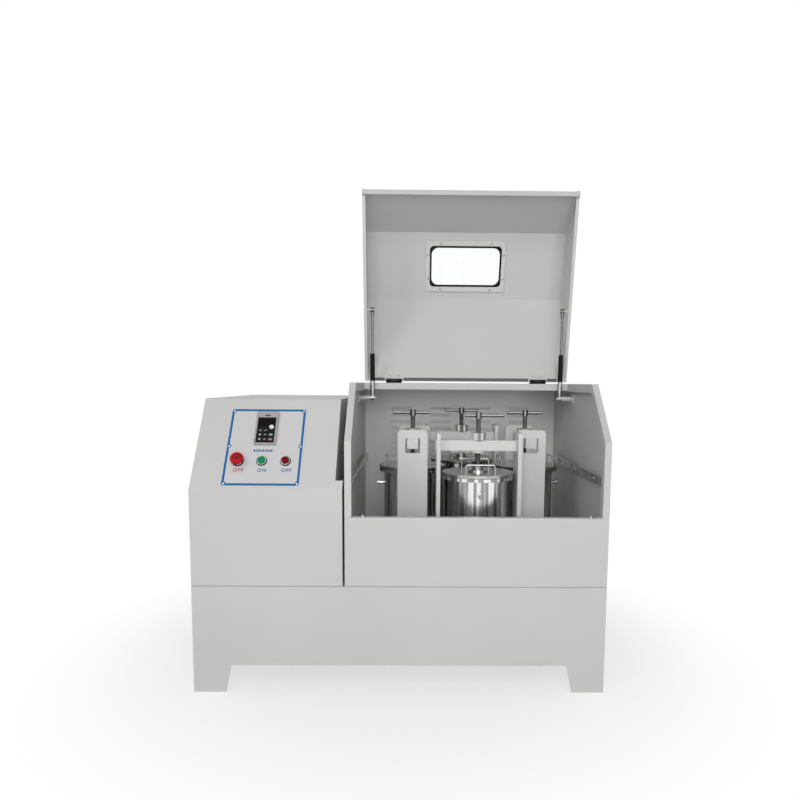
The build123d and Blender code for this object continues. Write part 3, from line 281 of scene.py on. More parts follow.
@dataclass(frozen=True)
class Steel:
    """Bare or plated steel with a grain, from ground plate to bright chrome."""

    name: str
    colour: tuple
    roughness: float = 0.25
    grain: Grain = Grain.NONE
    streaks: float = 0.08
    depth: float = 0.00005

    def material(self) -> bpy.types.Material:
        """Builds the metal.

        Returns:
            The material.
        """
        shader = Shader(self.name)
        shader.surface.inputs["Metallic"].default_value = 1.0
        streak = shader.noise(7.0, 5.0, self.grain.value)
        cloud = shader.noise(9.0, 3.0)
        low, high = scaled(self.colour, 1 - self.streaks), scaled(self.colour, 1 + self.streaks)
        shader.colour(shader.between(streak, low, high))
        spread = 0.25 * self.roughness
        shader.rough(cloud, self.roughness - spread, self.roughness + spread)
        shader.bump(streak, 0.5, self.depth)
        return shader.material


@dataclass(frozen=True)
class TurnedSteel:
    """Polished steel turned on a lathe: gloss drawn out along its axis, slight ripples round it as a bump,
    and painted reflection as light and dark vertical bands in its colour.
    """

    name: str
    colour: tuple
    roughness: float = 0.13
    ripple_and_painted_band_scale: float = 58.0
    # Depth and ramp edges of the painted reflection bands in the colour.
    painted_band_contrast: float = 0.56
    edge: tuple = (0.46, 0.53)
    depth: float = 0.0026

    def material(self) -> bpy.types.Material:
        """Builds the metal.

        Returns:
            The material.
        """
        shader = Shader(self.name)
        surface = shader.surface
        surface.inputs["Metallic"].default_value = 1.0
        surface.inputs["Anisotropic"].default_value = 0.85
        surface.inputs["Anisotropic Rotation"].default_value = 0.25
        tangent = shader.add("Tangent", direction_type="RADIAL", axis="Z")
        shader.join(tangent.outputs["Tangent"], surface.inputs["Tangent"])
        # One noise, stretched along the axis, drives both the real ripple bump and the painted reflection
        # bands.
        wave = shader.noise(self.ripple_and_painted_band_scale, 3.0, (1.0, 1.0, 0.02))
        fine = shader.noise(9.0, 3.0)
        # Painted reflection: the colour swings between a dark and a light tone in sharp vertical bands.
        low, high = scaled(self.colour, 1 - self.painted_band_contrast), scaled(self.colour, 1 + 0.3 * self.painted_band_contrast)
        shader.colour(shader.between(wave, low, high, self.edge))
        shader.rough(fine, self.roughness - 0.04, self.roughness + 0.04)
        shader.bump(wave, 1.0, self.depth)
        return shader.material


@dataclass(frozen=True)
class Cast:
    """Cast or machined iron with a grainy skin."""

    name: str
    colour: tuple
    roughness: float = 0.6
    metallic: float = 0.6
    skin: float = 0.0005

    def material(self) -> bpy.types.Material:
        """Builds the casting's surface.

        Returns:
            The material.
        """
        shader = Shader(self.name)
        shader.surface.inputs["Metallic"].default_value = self.metallic
        grit = shader.noise(260.0, 4.0)
        stain = shader.noise(11.0, 5.0)
        shader.colour(shader.between(stain, scaled(self.colour, 0.8), scaled(self.colour, 1.15)))
        shader.rough(grit, self.roughness - 0.1, self.roughness + 0.12)
        shader.bump(grit, 0.5, self.skin)
        return shader.material


@dataclass(frozen=True)
class Moulded:
    """Moulded plastic or rubber with a fine spark-eroded texture."""

    name: str
    colour: tuple
    roughness: float = 0.4
    texture: float = 0.00008
    gloss: float = 0.5

    def material(self) -> bpy.types.Material:
        """Builds the plastic.

        Returns:
            The material.
        """
        shader = Shader(self.name)
        shader.surface.inputs["Specular IOR Level"].default_value = self.gloss
        fine = shader.noise(900.0, 2.0)
        broad = shader.noise(30.0, 3.0)
        shader.colour(shader.between(broad, scaled(self.colour, 0.94), scaled(self.colour, 1.06)))
        shader.rough(fine, self.roughness - 0.05, self.roughness + 0.05)
        shader.bump(fine, 0.4, self.texture)
        return shader.material


@dataclass(frozen=True)
class ClearSheet:
    """Clear acrylic sheet with the faintest tint and dust."""

    name: str
    colour: tuple

    def material(self) -> bpy.types.Material:
        """Builds the clear sheet.

        Returns:
            The material.
        """
        shader = Shader(self.name)
        shader.surface.inputs["Transmission Weight"].default_value = 1.0
        shader.surface.inputs["IOR"].default_value = 1.1
        dust = shader.noise(60.0, 4.0)
        shader.colour(shader.between(dust, self.colour, WHITE))
        shader.rough(dust, 0.0, 0.02)
        return shader.material


@dataclass(frozen=True)
class TwoPart:
    """Two finishes on one piece, parted at a distance along a direction from a point."""

    name: str
    start: tuple
    along: tuple
    distance: float
    near: tuple
    near_metallic: float
    far: tuple
    far_metallic: float
    roughness: float = 0.3
    gloss: float = 0.5

    def material(self) -> bpy.types.Material:
        """Builds both finishes in one surface.

        Returns:
            The material.
        """
        shader = Shader(self.name)
        shader.surface.inputs["Specular IOR Level"].default_value = self.gloss
        level = shader.add("VectorMath", operation="DOT_PRODUCT")
        shader.join(shader.place_node.outputs["Object"], level.inputs[0])
        level.inputs[1].default_value = self.along
        beyond = shader.add("Math", operation="GREATER_THAN")
        shader.join(level.outputs["Value"], beyond.inputs[0])
        reach = Vector(self.start).dot(Vector(self.along)) + self.distance
        beyond.inputs[1].default_value = reach * MM
        fine = shader.noise(300.0, 3.0)
        mix = shader.add("MixRGB")
        shader.join(beyond.outputs["Value"], mix.inputs["Fac"])
        for socket, colour in (("Color1", self.near), ("Color2", self.far)):
            shader.join(shader.between(fine, scaled(colour, 0.92), scaled(colour, 1.08)), mix.inputs[socket])
        shader.colour(mix.outputs["Color"])
        metal = shader.add("MapRange")
        metal.inputs["To Min"].default_value = self.near_metallic
        metal.inputs["To Max"].default_value = self.far_metallic
        shader.join(beyond.outputs["Value"], metal.inputs["Value"])
        shader.join(metal.outputs["Result"], shader.surface.inputs["Metallic"])
        shader.rough(fine, self.roughness - 0.06, self.roughness + 0.06)
        return shader.material


@dataclass(frozen=True)
class ThreadedSteel:
    """Bright screw whose shank carries a turned thread, told from its head by height."""

    name: str
    colour: tuple
    pitch: float
    top: float

    def material(self) -> bpy.types.Material:
        """Builds the metal with its thread as a bump.

        Returns:
            The material.
        """
        shader = Shader(self.name)
        shader.surface.inputs["Metallic"].default_value = 1.0
        split = shader.add("SeparateXYZ")
        shader.join(shader.place_node.outputs["Object"], split.inputs[0])
        wave = shader.add("Math", operation="SINE")
        turns = shader.add("Math", operation="MULTIPLY")
        turns.inputs[1].default_value = 2 * math.pi / (self.pitch * MM)
        shader.join(split.outputs["Z"], turns.inputs[0])
        shader.join(turns.outputs["Value"], wave.inputs[0])
        below = shader.add("Math", operation="LESS_THAN")
        below.inputs[1].default_value = self.top * MM
        shader.join(split.outputs["Z"], below.inputs[0])
        thread = shader.add("Math", operation="MULTIPLY")
        shader.join(wave.outputs["Value"], thread.inputs[0])
        shader.join(below.outputs["Value"], thread.inputs[1])
        cloud = shader.noise(40.0, 3.0)
        shader.colour(shader.between(cloud, scaled(self.colour, 0.9), self.colour))
        shader.rough(cloud, 0.14, 0.24)
        shader.bump(thread.outputs["Value"], 0.9, 0.0005)
        return shader.material


class Finish(Enum):
    """Every finish on the machine, each with its own surface."""

    PANEL = PowderCoat("panel_paint", linear(205, 205, 204))
    # Paler copy of the panel paint for the chamber's rear panel, lightened to make up for the shade inside
    # the chamber: painted light.
    CHAMBER_LIFTED = PowderCoat("chamber_paint_lifted_for_shade", linear(236, 236, 236), 0.36)
    FRAME = PowderCoat("frame_paint", linear(214, 214, 213), 0.36)
    STAINLESS = TurnedSteel("polished_stainless_painted_bands", linear(222, 222, 221))
    LID = Steel("turned_stainless", linear(176, 176, 175), 0.24, Grain.NONE, 0.08)
    CHROME = Steel("chrome", linear(150, 150, 152), 0.16, Grain.NONE, 0.05, 0.00002)
    ROD = Steel("piston_rod", linear(104, 104, 106), 0.24, Grain.ALONG_Z, 0.04, 0.00002)
    ZINC = Steel("zinc_plate", linear(196, 196, 194), 0.34, Grain.ALONG_Y, 0.08)
    GEAR = Steel("machined_steel", linear(176, 175, 172), 0.36, Grain.NONE, 0.1)
    CAST = Cast("cast_iron", linear(98, 98, 98))
    MOTOR = Cast("motor_paint", linear(88, 104, 116), 0.45, 0.0, 0.0003)
    BELT = Moulded("belt_rubber", linear(28, 28, 28), 0.75, 0.0003)
    PLATE = PowderCoat("control_plate_sheet", linear(206, 206, 207), 0.4, 0.015, 0.00004)
    BLUE = Moulded("blue_print", linear(30, 102, 160), 0.5, gloss=0.2)
    WARNING_RED = Moulded("red_print", linear(166, 34, 60), 0.5, gloss=0.2)
    BLACK = Moulded("black_plastic", linear(24, 23, 25), 0.35)
    GLASS_BLACK = Moulded("display_film", linear(20, 18, 20), 0.3, 0.00001, 0.12)
    DISPLAY = Moulded("display_window", linear(12, 8, 10), 0.14, 0.00001, 0.08)
    GREY = Moulded("grey_plastic", linear(166, 164, 165), 0.42)
    KEY = Moulded("key_rubber", linear(66, 66, 68), 0.5, gloss=0.2)
    RUN_KEY = Moulded("run_key_rubber", linear(118, 186, 158), 0.5, gloss=0.2)
    HALT_KEY = Moulded("halt_key_rubber", linear(186, 122, 126), 0.5, gloss=0.2)
    STOP_PRINT = Moulded("stop_print", linear(70, 26, 32), 0.5, gloss=0.2)
    WHITE = Moulded("white_plastic", linear(226, 226, 224), 0.35)
    BEZEL = Steel("bezel_metal", linear(208, 208, 208), 0.2, Grain.NONE, 0.05)
    RED = Moulded("red_plastic", linear(184, 16, 30), 0.32, 0.00004, 0.14)
    DARK_RED = Moulded("dark_red_plastic", linear(118, 4, 18), 0.3, 0.00002, 0.12)
    GREEN = Moulded("green_plastic", linear(14, 132, 92), 0.3, 0.00002, 0.14)
    # Black rubber for the real gaskets and hinge leaves, and for the rings under the buttons that stand in
    # for their shadow: painted shade.
    GASKET_AND_SHADE = Moulded("gasket_rubber_and_painted_shade", linear(12, 12, 12), 0.6, gloss=0.2)
    # Grey strip along the hood's rear hem, standing in for the shadowed fold there: painted shade.
    HEM_SHADE = Moulded("painted_hem_shade", linear(92, 92, 92), 0.6)
    GLASS = ClearSheet("window_sheet", linear(250, 252, 252))
    FASTENER = Steel("plated_fastener", linear(176, 176, 174), 0.3, Grain.NONE, 0.08)
    SCREW = ThreadedSteel("threaded_screw", linear(118, 118, 119), 2.5, 826.0)


class FinishShop:
    """Makes each finish once and hands it out."""

    def __init__(self) -> None:
        """Starts with nothing made."""
        self.made: dict[str, bpy.types.Material] = {}

    def get(self, finish: "Finish | Surface") -> bpy.types.Material:
        """Gives the material of a finish, built the first time it is asked for.

        Args:
            finish: a named finish, or one made for a single piece.

        Returns:
            The material.
        """
        surface = finish.value if isinstance(finish, Finish) else finish
        if surface.name not in self.made:
            self.made[surface.name] = surface.material()
        return self.made[surface.name]

    def dress(self, node: str, finish: "Finish | Surface") -> None:
        """Gives a CAD node a finish in place of its plain one.

        Args:
            node: the CAD node's name.
            finish: its finish.
        """
        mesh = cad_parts[node].data
        mesh.materials.clear()
        mesh.materials.append(self.get(finish))
        log.info("%s wears %s", node, mesh.materials[0].name)


# ---------------------------------------------------------------- mesh work
class Blank:
    """A mesh piece in the making."""

    def __init__(self, name: str) -> None:
        """Starts an empty mesh."""
        self.name = name
        self.mesh = bmesh.new()

    def turned(self, at: Matrix, profile: list, segments: int = 40) -> "Blank":
        """Adds a turned form.

        Args:
            at: work plane whose normal is the axis.
            profile: radius and height of each corner, in millimetres, from one end to the other.
            segments: corners round the axis.

        Returns:
            This blank.
        """
        rings = []
        for radius, height in profile:
            ring = []
            count = segments if radius > 1e-6 else 1
            for step in range(count):
                angle = 2 * math.pi * step / segments
                spot = Vector((radius * math.cos(angle), radius * math.sin(angle), height)) * MM
                ring.append(self.mesh.verts.new(at @ spot))
            rings.append(ring)
        for lower, upper in zip(rings, rings[1:]):
            for step in range(segments):
                after = (step + 1) % segments
                if len(lower) == 1 and len(upper) > 1:
                    self.mesh.faces.new((lower[0], upper[after], upper[step]))
                elif len(upper) == 1 and len(lower) > 1:
                    self.mesh.faces.new((lower[step], lower[after], upper[0]))
                elif len(lower) > 1:
                    self.mesh.faces.new((lower[step], lower[after], upper[after], upper[step]))
        for ring, flip in ((rings[0], True), (rings[-1], False)):
            if len(ring) > 1 and profile[0] != profile[-1]:
                self.mesh.faces.new(ring[::-1] if flip else ring)
        return self

    def prism(self, at: Matrix, outline: list, height: float, bevel: float = 0.0) -> "Blank":
        """Adds a plate of constant section.

        Args:
            at: work plane of its lower face.
            outline: corners in millimetres.
            height: its thickness.
            bevel: width of the bevel round its upper face.

        Returns:
            This blank.
        """
        count = len(outline)
        levels = [(0.0, 0.0), (height - bevel, 0.0)]
        if bevel:
            levels.append((height, bevel))
        middle = Vector((sum(p[0] for p in outline) / count, sum(p[1] for p in outline) / count))
        rings = []
        for level, inset in levels:
            ring = []
            for x, y in outline:
                inward = middle - Vector((x, y))
                spot = Vector((x, y)) + (inward.normalized() * inset if inset else Vector((0, 0)))
                ring.append(self.mesh.verts.new(at @ (Vector((spot.x, spot.y, level)) * MM)))
            rings.append(ring)
        for lower, upper in zip(rings, rings[1:]):
            for step in range(count):
                after = (step + 1) % count
                self.mesh.faces.new((lower[step], lower[after], upper[after], upper[step]))
        self.mesh.faces.new(rings[0][::-1])
        self.mesh.faces.new(rings[-1])
        return self

    def band(self, at: Matrix, outer: list, inner: list, height: float) -> "Blank":
        """Adds a flat closed band between two outlines.

        Args:
            at: work plane of its lower face.
            outer: corners of its outer outline in millimetres.
            inner: as many corners of its inner outline.
            height: its thickness.

        Returns:
            This blank.
        """
        count = len(outer)
        rings = []
        for outline, level in ((outer, 0.0), (outer, height), (inner, height), (inner, 0.0)):
            rings.append([self.mesh.verts.new(at @ (Vector((x, y, level)) * MM)) for x, y in outline])
        for first, second in zip(rings, rings[1:] + rings[:1]):
            for step in range(count):
                after = (step + 1) % count
                self.mesh.faces.new((first[step], first[after], second[after], second[step]))
        return self

    def fit(
        self, body: str, material: bpy.types.Material, crease: float = 32.0
    ) -> bpy.types.Object:
        """Finishes the mesh as an object that rides on a body.

        Args:
            body: the CAD body that carries it.
            material: its material.
            crease: angle in degrees above which an edge stays sharp.

        Returns:
            The object.
        """
        bmesh.ops.recalc_face_normals(self.mesh, faces=self.mesh.faces)
        data = bpy.data.meshes.new(self.name)
        self.mesh.to_mesh(data)
        self.mesh.free()
        for face in data.polygons:
            face.use_smooth = True
        data.set_sharp_from_angle(angle=math.radians(crease))
        data.materials.append(material)
        piece = bpy.data.objects.new(self.name, data)
        bpy.context.scene.collection.objects.link(piece)
        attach(piece, body)
        log.info("%s rides on %s", self.name, body)
        return piece


def rounded(width: float, height: float, radius: float, centre: tuple = (0.0, 0.0), steps: int = 8) -> list:
    """Corners of a rounded rectangle.

    Args:
        width: its size along x.
        height: its size along y.
        radius: its corner radius.
        centre: its middle.
        steps: corners in each arc.

    Returns:
        The corners, counter-clockwise.
    """
    corners = []
    for quarter, (sx, sy) in enumerate(((1, 1), (-1, 1), (-1, -1), (1, -1))):
        middle = (centre[0] + sx * (width / 2 - radius), centre[1] + sy * (height / 2 - radius))
        for step in range(steps + 1):
            angle = math.pi / 2 * (quarter + step / steps)
            corners.append((middle[0] + radius * math.cos(angle), middle[1] + radius * math.sin(angle)))
    return corners


def polar(radius: float, angle: float) -> tuple:
    """Gives x and y of a point at a radius and an angle in radians."""
    return (radius * math.cos(angle), radius * math.sin(angle))


def turned_spots(centre: tuple, radius: float, count: int, start: float = 0.0) -> list:
    """Spreads points evenly round a circle.

    Args:
        centre: x and y of its middle.
        radius: its radius.
        count: how many points.
        start: angle of the first one in radians.

    Returns:
        The points, counter-clockwise.
    """
    spots = [polar(radius, start + 2 * math.pi * step / count) for step in range(count)]
    return [(centre[0] + x, centre[1] + y) for x, y in spots]


def circle(radius: float, steps: int = 28) -> list:
    """Gives the corners of a circle round the origin, counter-clockwise."""
    return turned_spots((0.0, 0.0), radius, steps)


class Fasteners:
    """Screws and bolts added to a blank."""

    sink: float = -0.4

    @classmethod
    def pan_screw(cls, blank: Blank, at: Matrix, radius: float) -> None:
        """Adds a pan-headed screw with a hollow in its head.

        Args:
            blank: the mesh that takes it.
            at: plane of its seat, whose normal is its axis.
            radius: radius of its head in millimetres.
        """
        shape = ((1.0, 0.3), (0.82, 0.5), (0.5, 0.62), (0.3, 0.62), (0.22, 0.3), (0, 0.25))
        profile = [(radius, cls.sink)] + [(out * radius, up * radius) for out, up in shape]
        blank.turned(at, profile, 20)

    @classmethod
    def hex_bolt(cls, blank: Blank, at: Matrix, across: float, height: float) -> None:
        """Adds a washer with a hexagon head on it.

        Args:
            blank: the mesh that takes it.
            at: plane of its seat, whose normal is its axis.
            across: width across its flats in millimetres.
            height: height of its hexagon.
        """
        washer, rim, edge = 1.8, 0.95 * across, 0.4
        profile = [(rim, cls.sink), (rim, washer - edge), (0.9 * across, washer), (0, washer)]
        blank.turned(at, profile, 28)
        raised = at @ Matrix.Translation((0, 0, washer * MM))
        blank.prism(raised, circle(across / math.sqrt(3), steps=6), height, 0.12 * across)

    @classmethod
    def socket_cap(cls, blank: Blank, at: Matrix, radius: float) -> None:
        """Adds a socket cap screw with its hexagon hollow as a round one.

        Args:
            blank: the mesh that takes it.
            at: plane of its seat, whose normal is its axis.
            radius: radius of its head in millimetres.
        """
        shape = ((1.0, 0.9), (0.88, 1.0), (0.55, 1.0), (0.55, 0.4), (0, 0.4))
        profile = [(radius, cls.sink)] + [(out * radius, up * radius) for out, up in shape]
        blank.turned(at, profile, 24)


# ---------------------------------------------------------------- sub-assemblies
@dataclass
class Enclosure:
    """Skirted base, cabinet and mill housing: the painted sheet metal that stands still."""

    housing_left: float = -165.0
    housing_right: float = 625.0
    front: float = -420.0
    rear: float = 420.0
    front_panel_top: float = 542.0
    rail_level: float = 646.5
    rail_inset: float = 18.0
    rail_screw_rows: tuple = (-291.0, -36.0, 219.0)
    rail_screw: float = 4.0
    rotor: tuple = (235.0, -10.0)
    bearing_top: float = 346.0
    bearing_circle: float = 112.0
    bearing_bolts: int = 8
    bearing_bolt: tuple = (16.0, 7.0)
    lip_columns: tuple = (-112.0, 572.0)
    lip_inset: float = 14.0
    lip_bolt: tuple = (10.0, 4.0)
    cover_columns: tuple = (-610.0, -209.0, -150.0, 230.0, 610.0)
    cover_levels: tuple = (350.0, 610.0, 870.0)
    cover_screw: float = 4.5
    panels: tuple = (
        "base_long_panels",
        "base_end_panels",
        "cabinet_cover",
        "housing_front_panel",
        "housing_side_walls",
        "housing_top_ledge",
        "cabinet_side_walls",
    )

    def dress(self, shop: FinishShop) -> None:
        """Paints the panels and gives the pieces behind them their finishes.

        Args:
            shop: where the finishes are made.
        """
        for node in self.panels:
            shop.dress(node, Finish.PANEL)
        # The rear panel wears the lightened copy of the panel paint, which offsets the chamber's shade:
        # painted light.
        shop.dress("housing_rear_panel", Finish.CHAMBER_LIFTED)
        shop.dress("base_frame", Finish.FRAME)
        shop.dress("side_rails", Finish.ZINC)
        shop.dress("main_bearing_housing", Finish.CAST)
        shop.dress("frequency_inverter", Finish.BLACK)

    def build(self, shop: FinishShop) -> None:
        """Adds the fasteners that hold the rails, bearing housing and covers.

        Args:
            shop: where the finishes are made.
        """
        rails = Blank("rail_screws")
        left, right = self.housing_left + self.rail_inset, self.housing_right - self.rail_inset
        for facing, wall in ((1, left), (-1, right)):
            for row_y in self.rail_screw_rows:
                at = place((wall, row_y, self.rail_level), (0, 1, 0), (facing, 0, 0))
                Fasteners.pan_screw(rails, at, self.rail_screw)
        rails.fit("base", shop.get(Finish.FASTENER))
        ring = Blank("bearing_bolts")
        half_step = math.pi / self.bearing_bolts
        for x, y in turned_spots(self.rotor, self.bearing_circle, self.bearing_bolts, half_step):
            Fasteners.hex_bolt(ring, place((x, y, self.bearing_top)), *self.bearing_bolt)
        ring.fit("base", shop.get(Finish.FASTENER))
        lip = Blank("front_panel_bolts")
        for row_x in self.lip_columns:
            at = place((row_x, self.front + self.lip_inset, self.front_panel_top))
            Fasteners.hex_bolt(lip, at, *self.lip_bolt)
        lip.fit("base", shop.get(Finish.FASTENER))
        back = Blank("cover_screws")
        for row_x in self.cover_columns:
            for level in self.cover_levels:
                at = place((row_x, self.rear, level), (-1, 0, 0), (0, 1, 0))
                Fasteners.pan_screw(back, at, self.cover_screw)
        back.fit("base", shop.get(Finish.FASTENER))


@dataclass
class ControlPanel:
    """Printed plate, speed keypad and push buttons on the cabinet's slope."""

    corner: tuple = (-625.0, -420.0, 621.0)
    run: float = 190.0
    rise: float = 266.0
    plate: float = 1.5
    ink: float = 0.15
    border_centre: tuple = (208.5, 151.0)
    border_size: tuple = (230.6, 269.6)
    border_width: float = 7.2
    border_corner: float = 7.0
    eyelet_inset: float = 6.5
    eyelet_radii: tuple = (6.6, 2.9)
    middle: float = 207.5
    keypad_floor: float = 7.5
    keypad_rim: float = 10.5
    keypad_up: float = 204.5
    keypad_size: tuple = (56.4, 91.4)
    film: float = 0.6
    display_up: float = 231.0
    display_size: tuple = (50.0, 26.0)
    key_columns: tuple = (191.0, 207.0, 224.5)
    key_rows: tuple = (202.0, 187.0, 170.0)
    key_size: tuple = (12.0, 8.0)
    key_height: float = 1.2
    round_key: tuple = (12.0, 7.4, 3.6)
    round_key_height: float = 1.4
    arrow_mark: tuple = (3.4, 2.6)
    bar_mark: tuple = (4.0, 1.4, 0.4)
    mark_height: float = 0.2
    upper_rim_up: float = 255.0
    upper_rim_size: tuple = (55.4, 9.6)
    badge_up: float = 257.5
    badge_radii: tuple = (9.0, 3.0)
    scale_start: float = 178.5
    scale_up: float = 135.5
    scale_step: float = 6.6
    scale_bars: int = 9
    scale_bar: tuple = (4.4, 9.5, 7.0)
    legend_up: float = 67.5
    legend_size: float = 15.0
    buttons: dict = field(
        default_factory=lambda: {"stop": (133.0, 99.0), "green": (205.0, 99.0), "red": (277.0, 99.0)}
    )
    # Radii and height of black rings under the collars that stand in for the buttons' shadow: painted shade.
    shade_ring_radii: dict = field(
        default_factory=lambda: {"stop": (18.0, 16.05), "green": (16.4, 14.55), "red": (16.4, 14.55)}
    )
    seal_height: float = 2.4
    stop_button_top: float = 25.0
    arrow_sweep: float = 1.35
    arrow_head: float = 0.45

    def at(self, across: float, up: float, proud: float) -> Matrix:
        """Gives the work plane at a point of the slope.

        Args:
            across: millimetres from the cabinet's left side.
            up: millimetres up the slope.
            proud: millimetres off its face.

        Returns:
            A plane with x across, y up the slope and its normal outward.
        """
        length = math.hypot(self.run, self.rise)
        up_y, up_z = self.run / length, self.rise / length
        origin = (
            self.corner[0] + across,
            self.corner[1] + up * up_y - proud * up_z,
            self.corner[2] + up * up_z + proud * up_y,
        )
        return place(origin, (1, 0, 0), (0, -up_z, up_y))

    def dress(self, shop: FinishShop) -> None:
        """Gives the panel's nodes their finishes.

        Args:
            shop: where the finishes are made.
        """
        for node, finish in (
            ("control_plate", Finish.PLATE),
            ("keypad_housing", Finish.GREY),
            ("speed_knob", Finish.WHITE),
            ("button_collars", Finish.BEZEL),
            ("emergency_stop", Finish.RED),
            ("start_button", Finish.GREEN),
            ("stop_button", Finish.DARK_RED),
        ):
            shop.dress(node, finish)

    def border(self, shop: FinishShop) -> None:
        """Adds the blue line round the plate, with an eyelet at each fixing.

        Args:
            shop: where the finishes are made.
        """
        width, height = self.border_size
        inside = 2 * self.border_width
        line = Blank("plate_border")
        line.band(
            self.at(*self.border_centre, self.plate),
            rounded(width, height, self.border_corner),
            rounded(width - inside, height - inside, self.border_corner - 0.8 * self.border_width),
            self.ink,
        )
        rivets = Blank("plate_rivets")
        reach = (width / 2 - self.eyelet_inset, height / 2 - self.eyelet_inset)
        spots = [(sx * reach[0], sy * reach[1]) for sx in (-1, 1) for sy in (-1, 1)]
        spots += [(-reach[0] - 0.5, 0.0), (reach[0] + 0.5, 0.0)]
        outer, inner = self.eyelet_radii
        for across, up in spots:
            at = self.at(self.border_centre[0] + across, self.border_centre[1] + up, self.plate)
            line.band(at, circle(outer), circle(inner), 0.2)
            rivets.turned(at, [(inner - 0.1, 0.0), (inner - 0.2, 0.5), (inner - 0.9, 1.0), (0, 1.2)], 20)
        line.fit("base", shop.get(Finish.BLUE))
        rivets.fit("base", shop.get(Finish.BEZEL))

    def keypad(self, shop: FinishShop) -> None:
        """Adds the keypad's black face, its display, its rim and its badge.

        Args:
            shop: where the finishes are made.
        """
        film = self.keypad_rim + self.film
        face = Blank("keypad_face")
        seat = self.at(self.middle, self.keypad_up, self.keypad_rim)
        face.prism(seat, rounded(*self.keypad_size, 1.5), self.film, 0.2)
        face.fit("base", shop.get(Finish.GLASS_BLACK))
        window = Blank("keypad_display")
        window.prism(self.at(self.middle, self.display_up, film), rounded(*self.display_size, 2.0), 0.3, 0.1)
        window.fit("base", shop.get(Finish.DISPLAY))
        self.keys(shop, film)
        filler = Blank("keypad_upper_rim")
        filler.prism(
            self.at(self.middle, self.upper_rim_up, self.keypad_floor),
            rounded(*self.upper_rim_size, 0.6),
            self.keypad_rim - self.keypad_floor,
        )
        filler.fit("base", shop.get(Finish.GREY))
        badge = Blank("keypad_badge")
        oval = [(self.badge_radii[0] * x, self.badge_radii[1] * y) for x, y in circle(1.0, steps=36)]
        badge.prism(self.at(self.middle, self.badge_up, self.keypad_rim), oval, 0.7, 0.3)
        badge.fit("base", shop.get(Finish.KEY))

    def keys(self, shop: FinishShop, film: float) -> None:
        """Adds the keypad's keys, with the marks on the plain ones.

        Args:
            shop: where the finishes are made.
            film: millimetres from the slope to the keypad's face.
        """
        first, second, third = self.key_columns
        plain = Blank("keypad_keys")
        for up in self.key_rows:
            for across in (first, second):
                plain.prism(self.at(across, up, film), rounded(*self.key_size, 3.9), self.key_height, 0.5)
        plain.fit("base", shop.get(Finish.KEY))
        marks = Blank("keypad_marks")
        top = film + self.key_height
        high, middle, low = self.key_rows
        half, tip = self.arrow_mark
        for up, corners in (
            (middle, [(-half, -tip), (half, -tip), (0.0, tip)]),
            (low, [(0.0, -tip), (half, tip), (-half, tip)]),
        ):
            marks.prism(self.at(first, up, top), corners, self.mark_height)
        for across, up in ((first, high), (second, high), (second, middle), (second, low)):
            marks.prism(self.at(across, up, top), rounded(*self.bar_mark), self.mark_height)
        marks.fit("base", shop.get(Finish.WHITE))
        for name, up, finish, slot in (
            ("keypad_run_key", middle, Finish.RUN_KEY, "green_plastic"),
            ("keypad_halt_key", low, Finish.HALT_KEY, "red_plastic"),
        ):
            key = Blank(name)
            key.prism(self.at(third, up, film), rounded(*self.round_key), self.round_key_height, 0.5)
            key.fit("base", shop.get(finish))

    def legends(self, shop: FinishShop) -> None:
        """Prints ON and OFF under the push buttons and a row of bars under the keypad.

        Args:
            shop: where the finishes are made.
        """
        for name, words, across, finish in (
            ("legend_on", "ON", 208.5, Finish.BLUE),
            ("legend_off", "OFF", 282.0, Finish.BLUE),
            ("legend_stop", "OFF", 138.0, Finish.WARNING_RED),
        ):
            curve = bpy.data.curves.new(name, "FONT")
            curve.body = words
            curve.size = self.legend_size * MM
            curve.space_character = 1.3
            curve.align_x = "CENTER"
            curve.align_y = "CENTER"
            curve.extrude = 0.08 * MM
            curve.offset = 0.4 * MM
            letters = bpy.data.objects.new(name, curve)
            bpy.context.scene.collection.objects.link(letters)
            letters.matrix_world = self.at(across, self.legend_up, self.plate + 0.1)
            curve.materials.append(shop.get(finish))
            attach(letters, "base")
            log.info("%s rides on base", name)
        scale = Blank("legend_speed")
        width, *heights = self.scale_bar
        for step in range(self.scale_bars):
            at = self.at(self.scale_start + self.scale_step * step, self.scale_up, self.plate)
            scale.prism(at, rounded(width, heights[step % 2], 0.8, steps=2), self.ink)
        scale.fit("base", shop.get(Finish.BLUE))

    def rings(self, shop: FinishShop) -> None:
        """Adds black rings under the collars, widened to stand in for the shadow round each button: painted
        shade.

        Args:
            shop: where the finishes are made.
        """
        shade_rings = Blank("button_shade_rings")
        for name, (outer, inner) in self.shade_ring_radii.items():
            at = self.at(*self.buttons[name], self.plate)
            shade_rings.band(at, circle(outer, steps=40), circle(inner, steps=40), self.seal_height)
        shade_rings.fit("base", shop.get(Finish.GASKET_AND_SHADE))

    def arrows(self, shop: FinishShop) -> None:
        """Prints the turning arrows on the stop button.

        Args:
            shop: where the finishes are made.
        """
        arrows = Blank("stop_button_arrows")
        top = self.at(*self.buttons["stop"], self.plate + self.stop_button_top)
        count, pieces = 3, 8
        for step in range(count):
            start = 0.3 + 2 * math.pi * step / count
            end = start + self.arrow_sweep
            angles = [start + self.arrow_sweep * part / pieces for part in range(pieces + 1)]
            outer = [polar(8.8, angle) for angle in angles]
            inner = [polar(5.2, angle) for angle in angles]
            arrows.prism(top, outer + inner[::-1], self.ink)
            tip = end + self.arrow_head
            arrows.prism(top, [polar(9.9, end), polar(7.4, tip), polar(4.9, end)], self.ink)
        arrows.prism(top, circle(3.4), self.ink)
        arrows.fit("emergency_stop", shop.get(Finish.STOP_PRINT))

    def build(self, shop: FinishShop) -> None:
        """Adds everything that the panel carries.

        Args:
            shop: where the finishes are made.
        """
        self.border(shop)
        self.keypad(shop)
        self.legends(shop)
        self.rings(shop)
        self.arrows(shop)


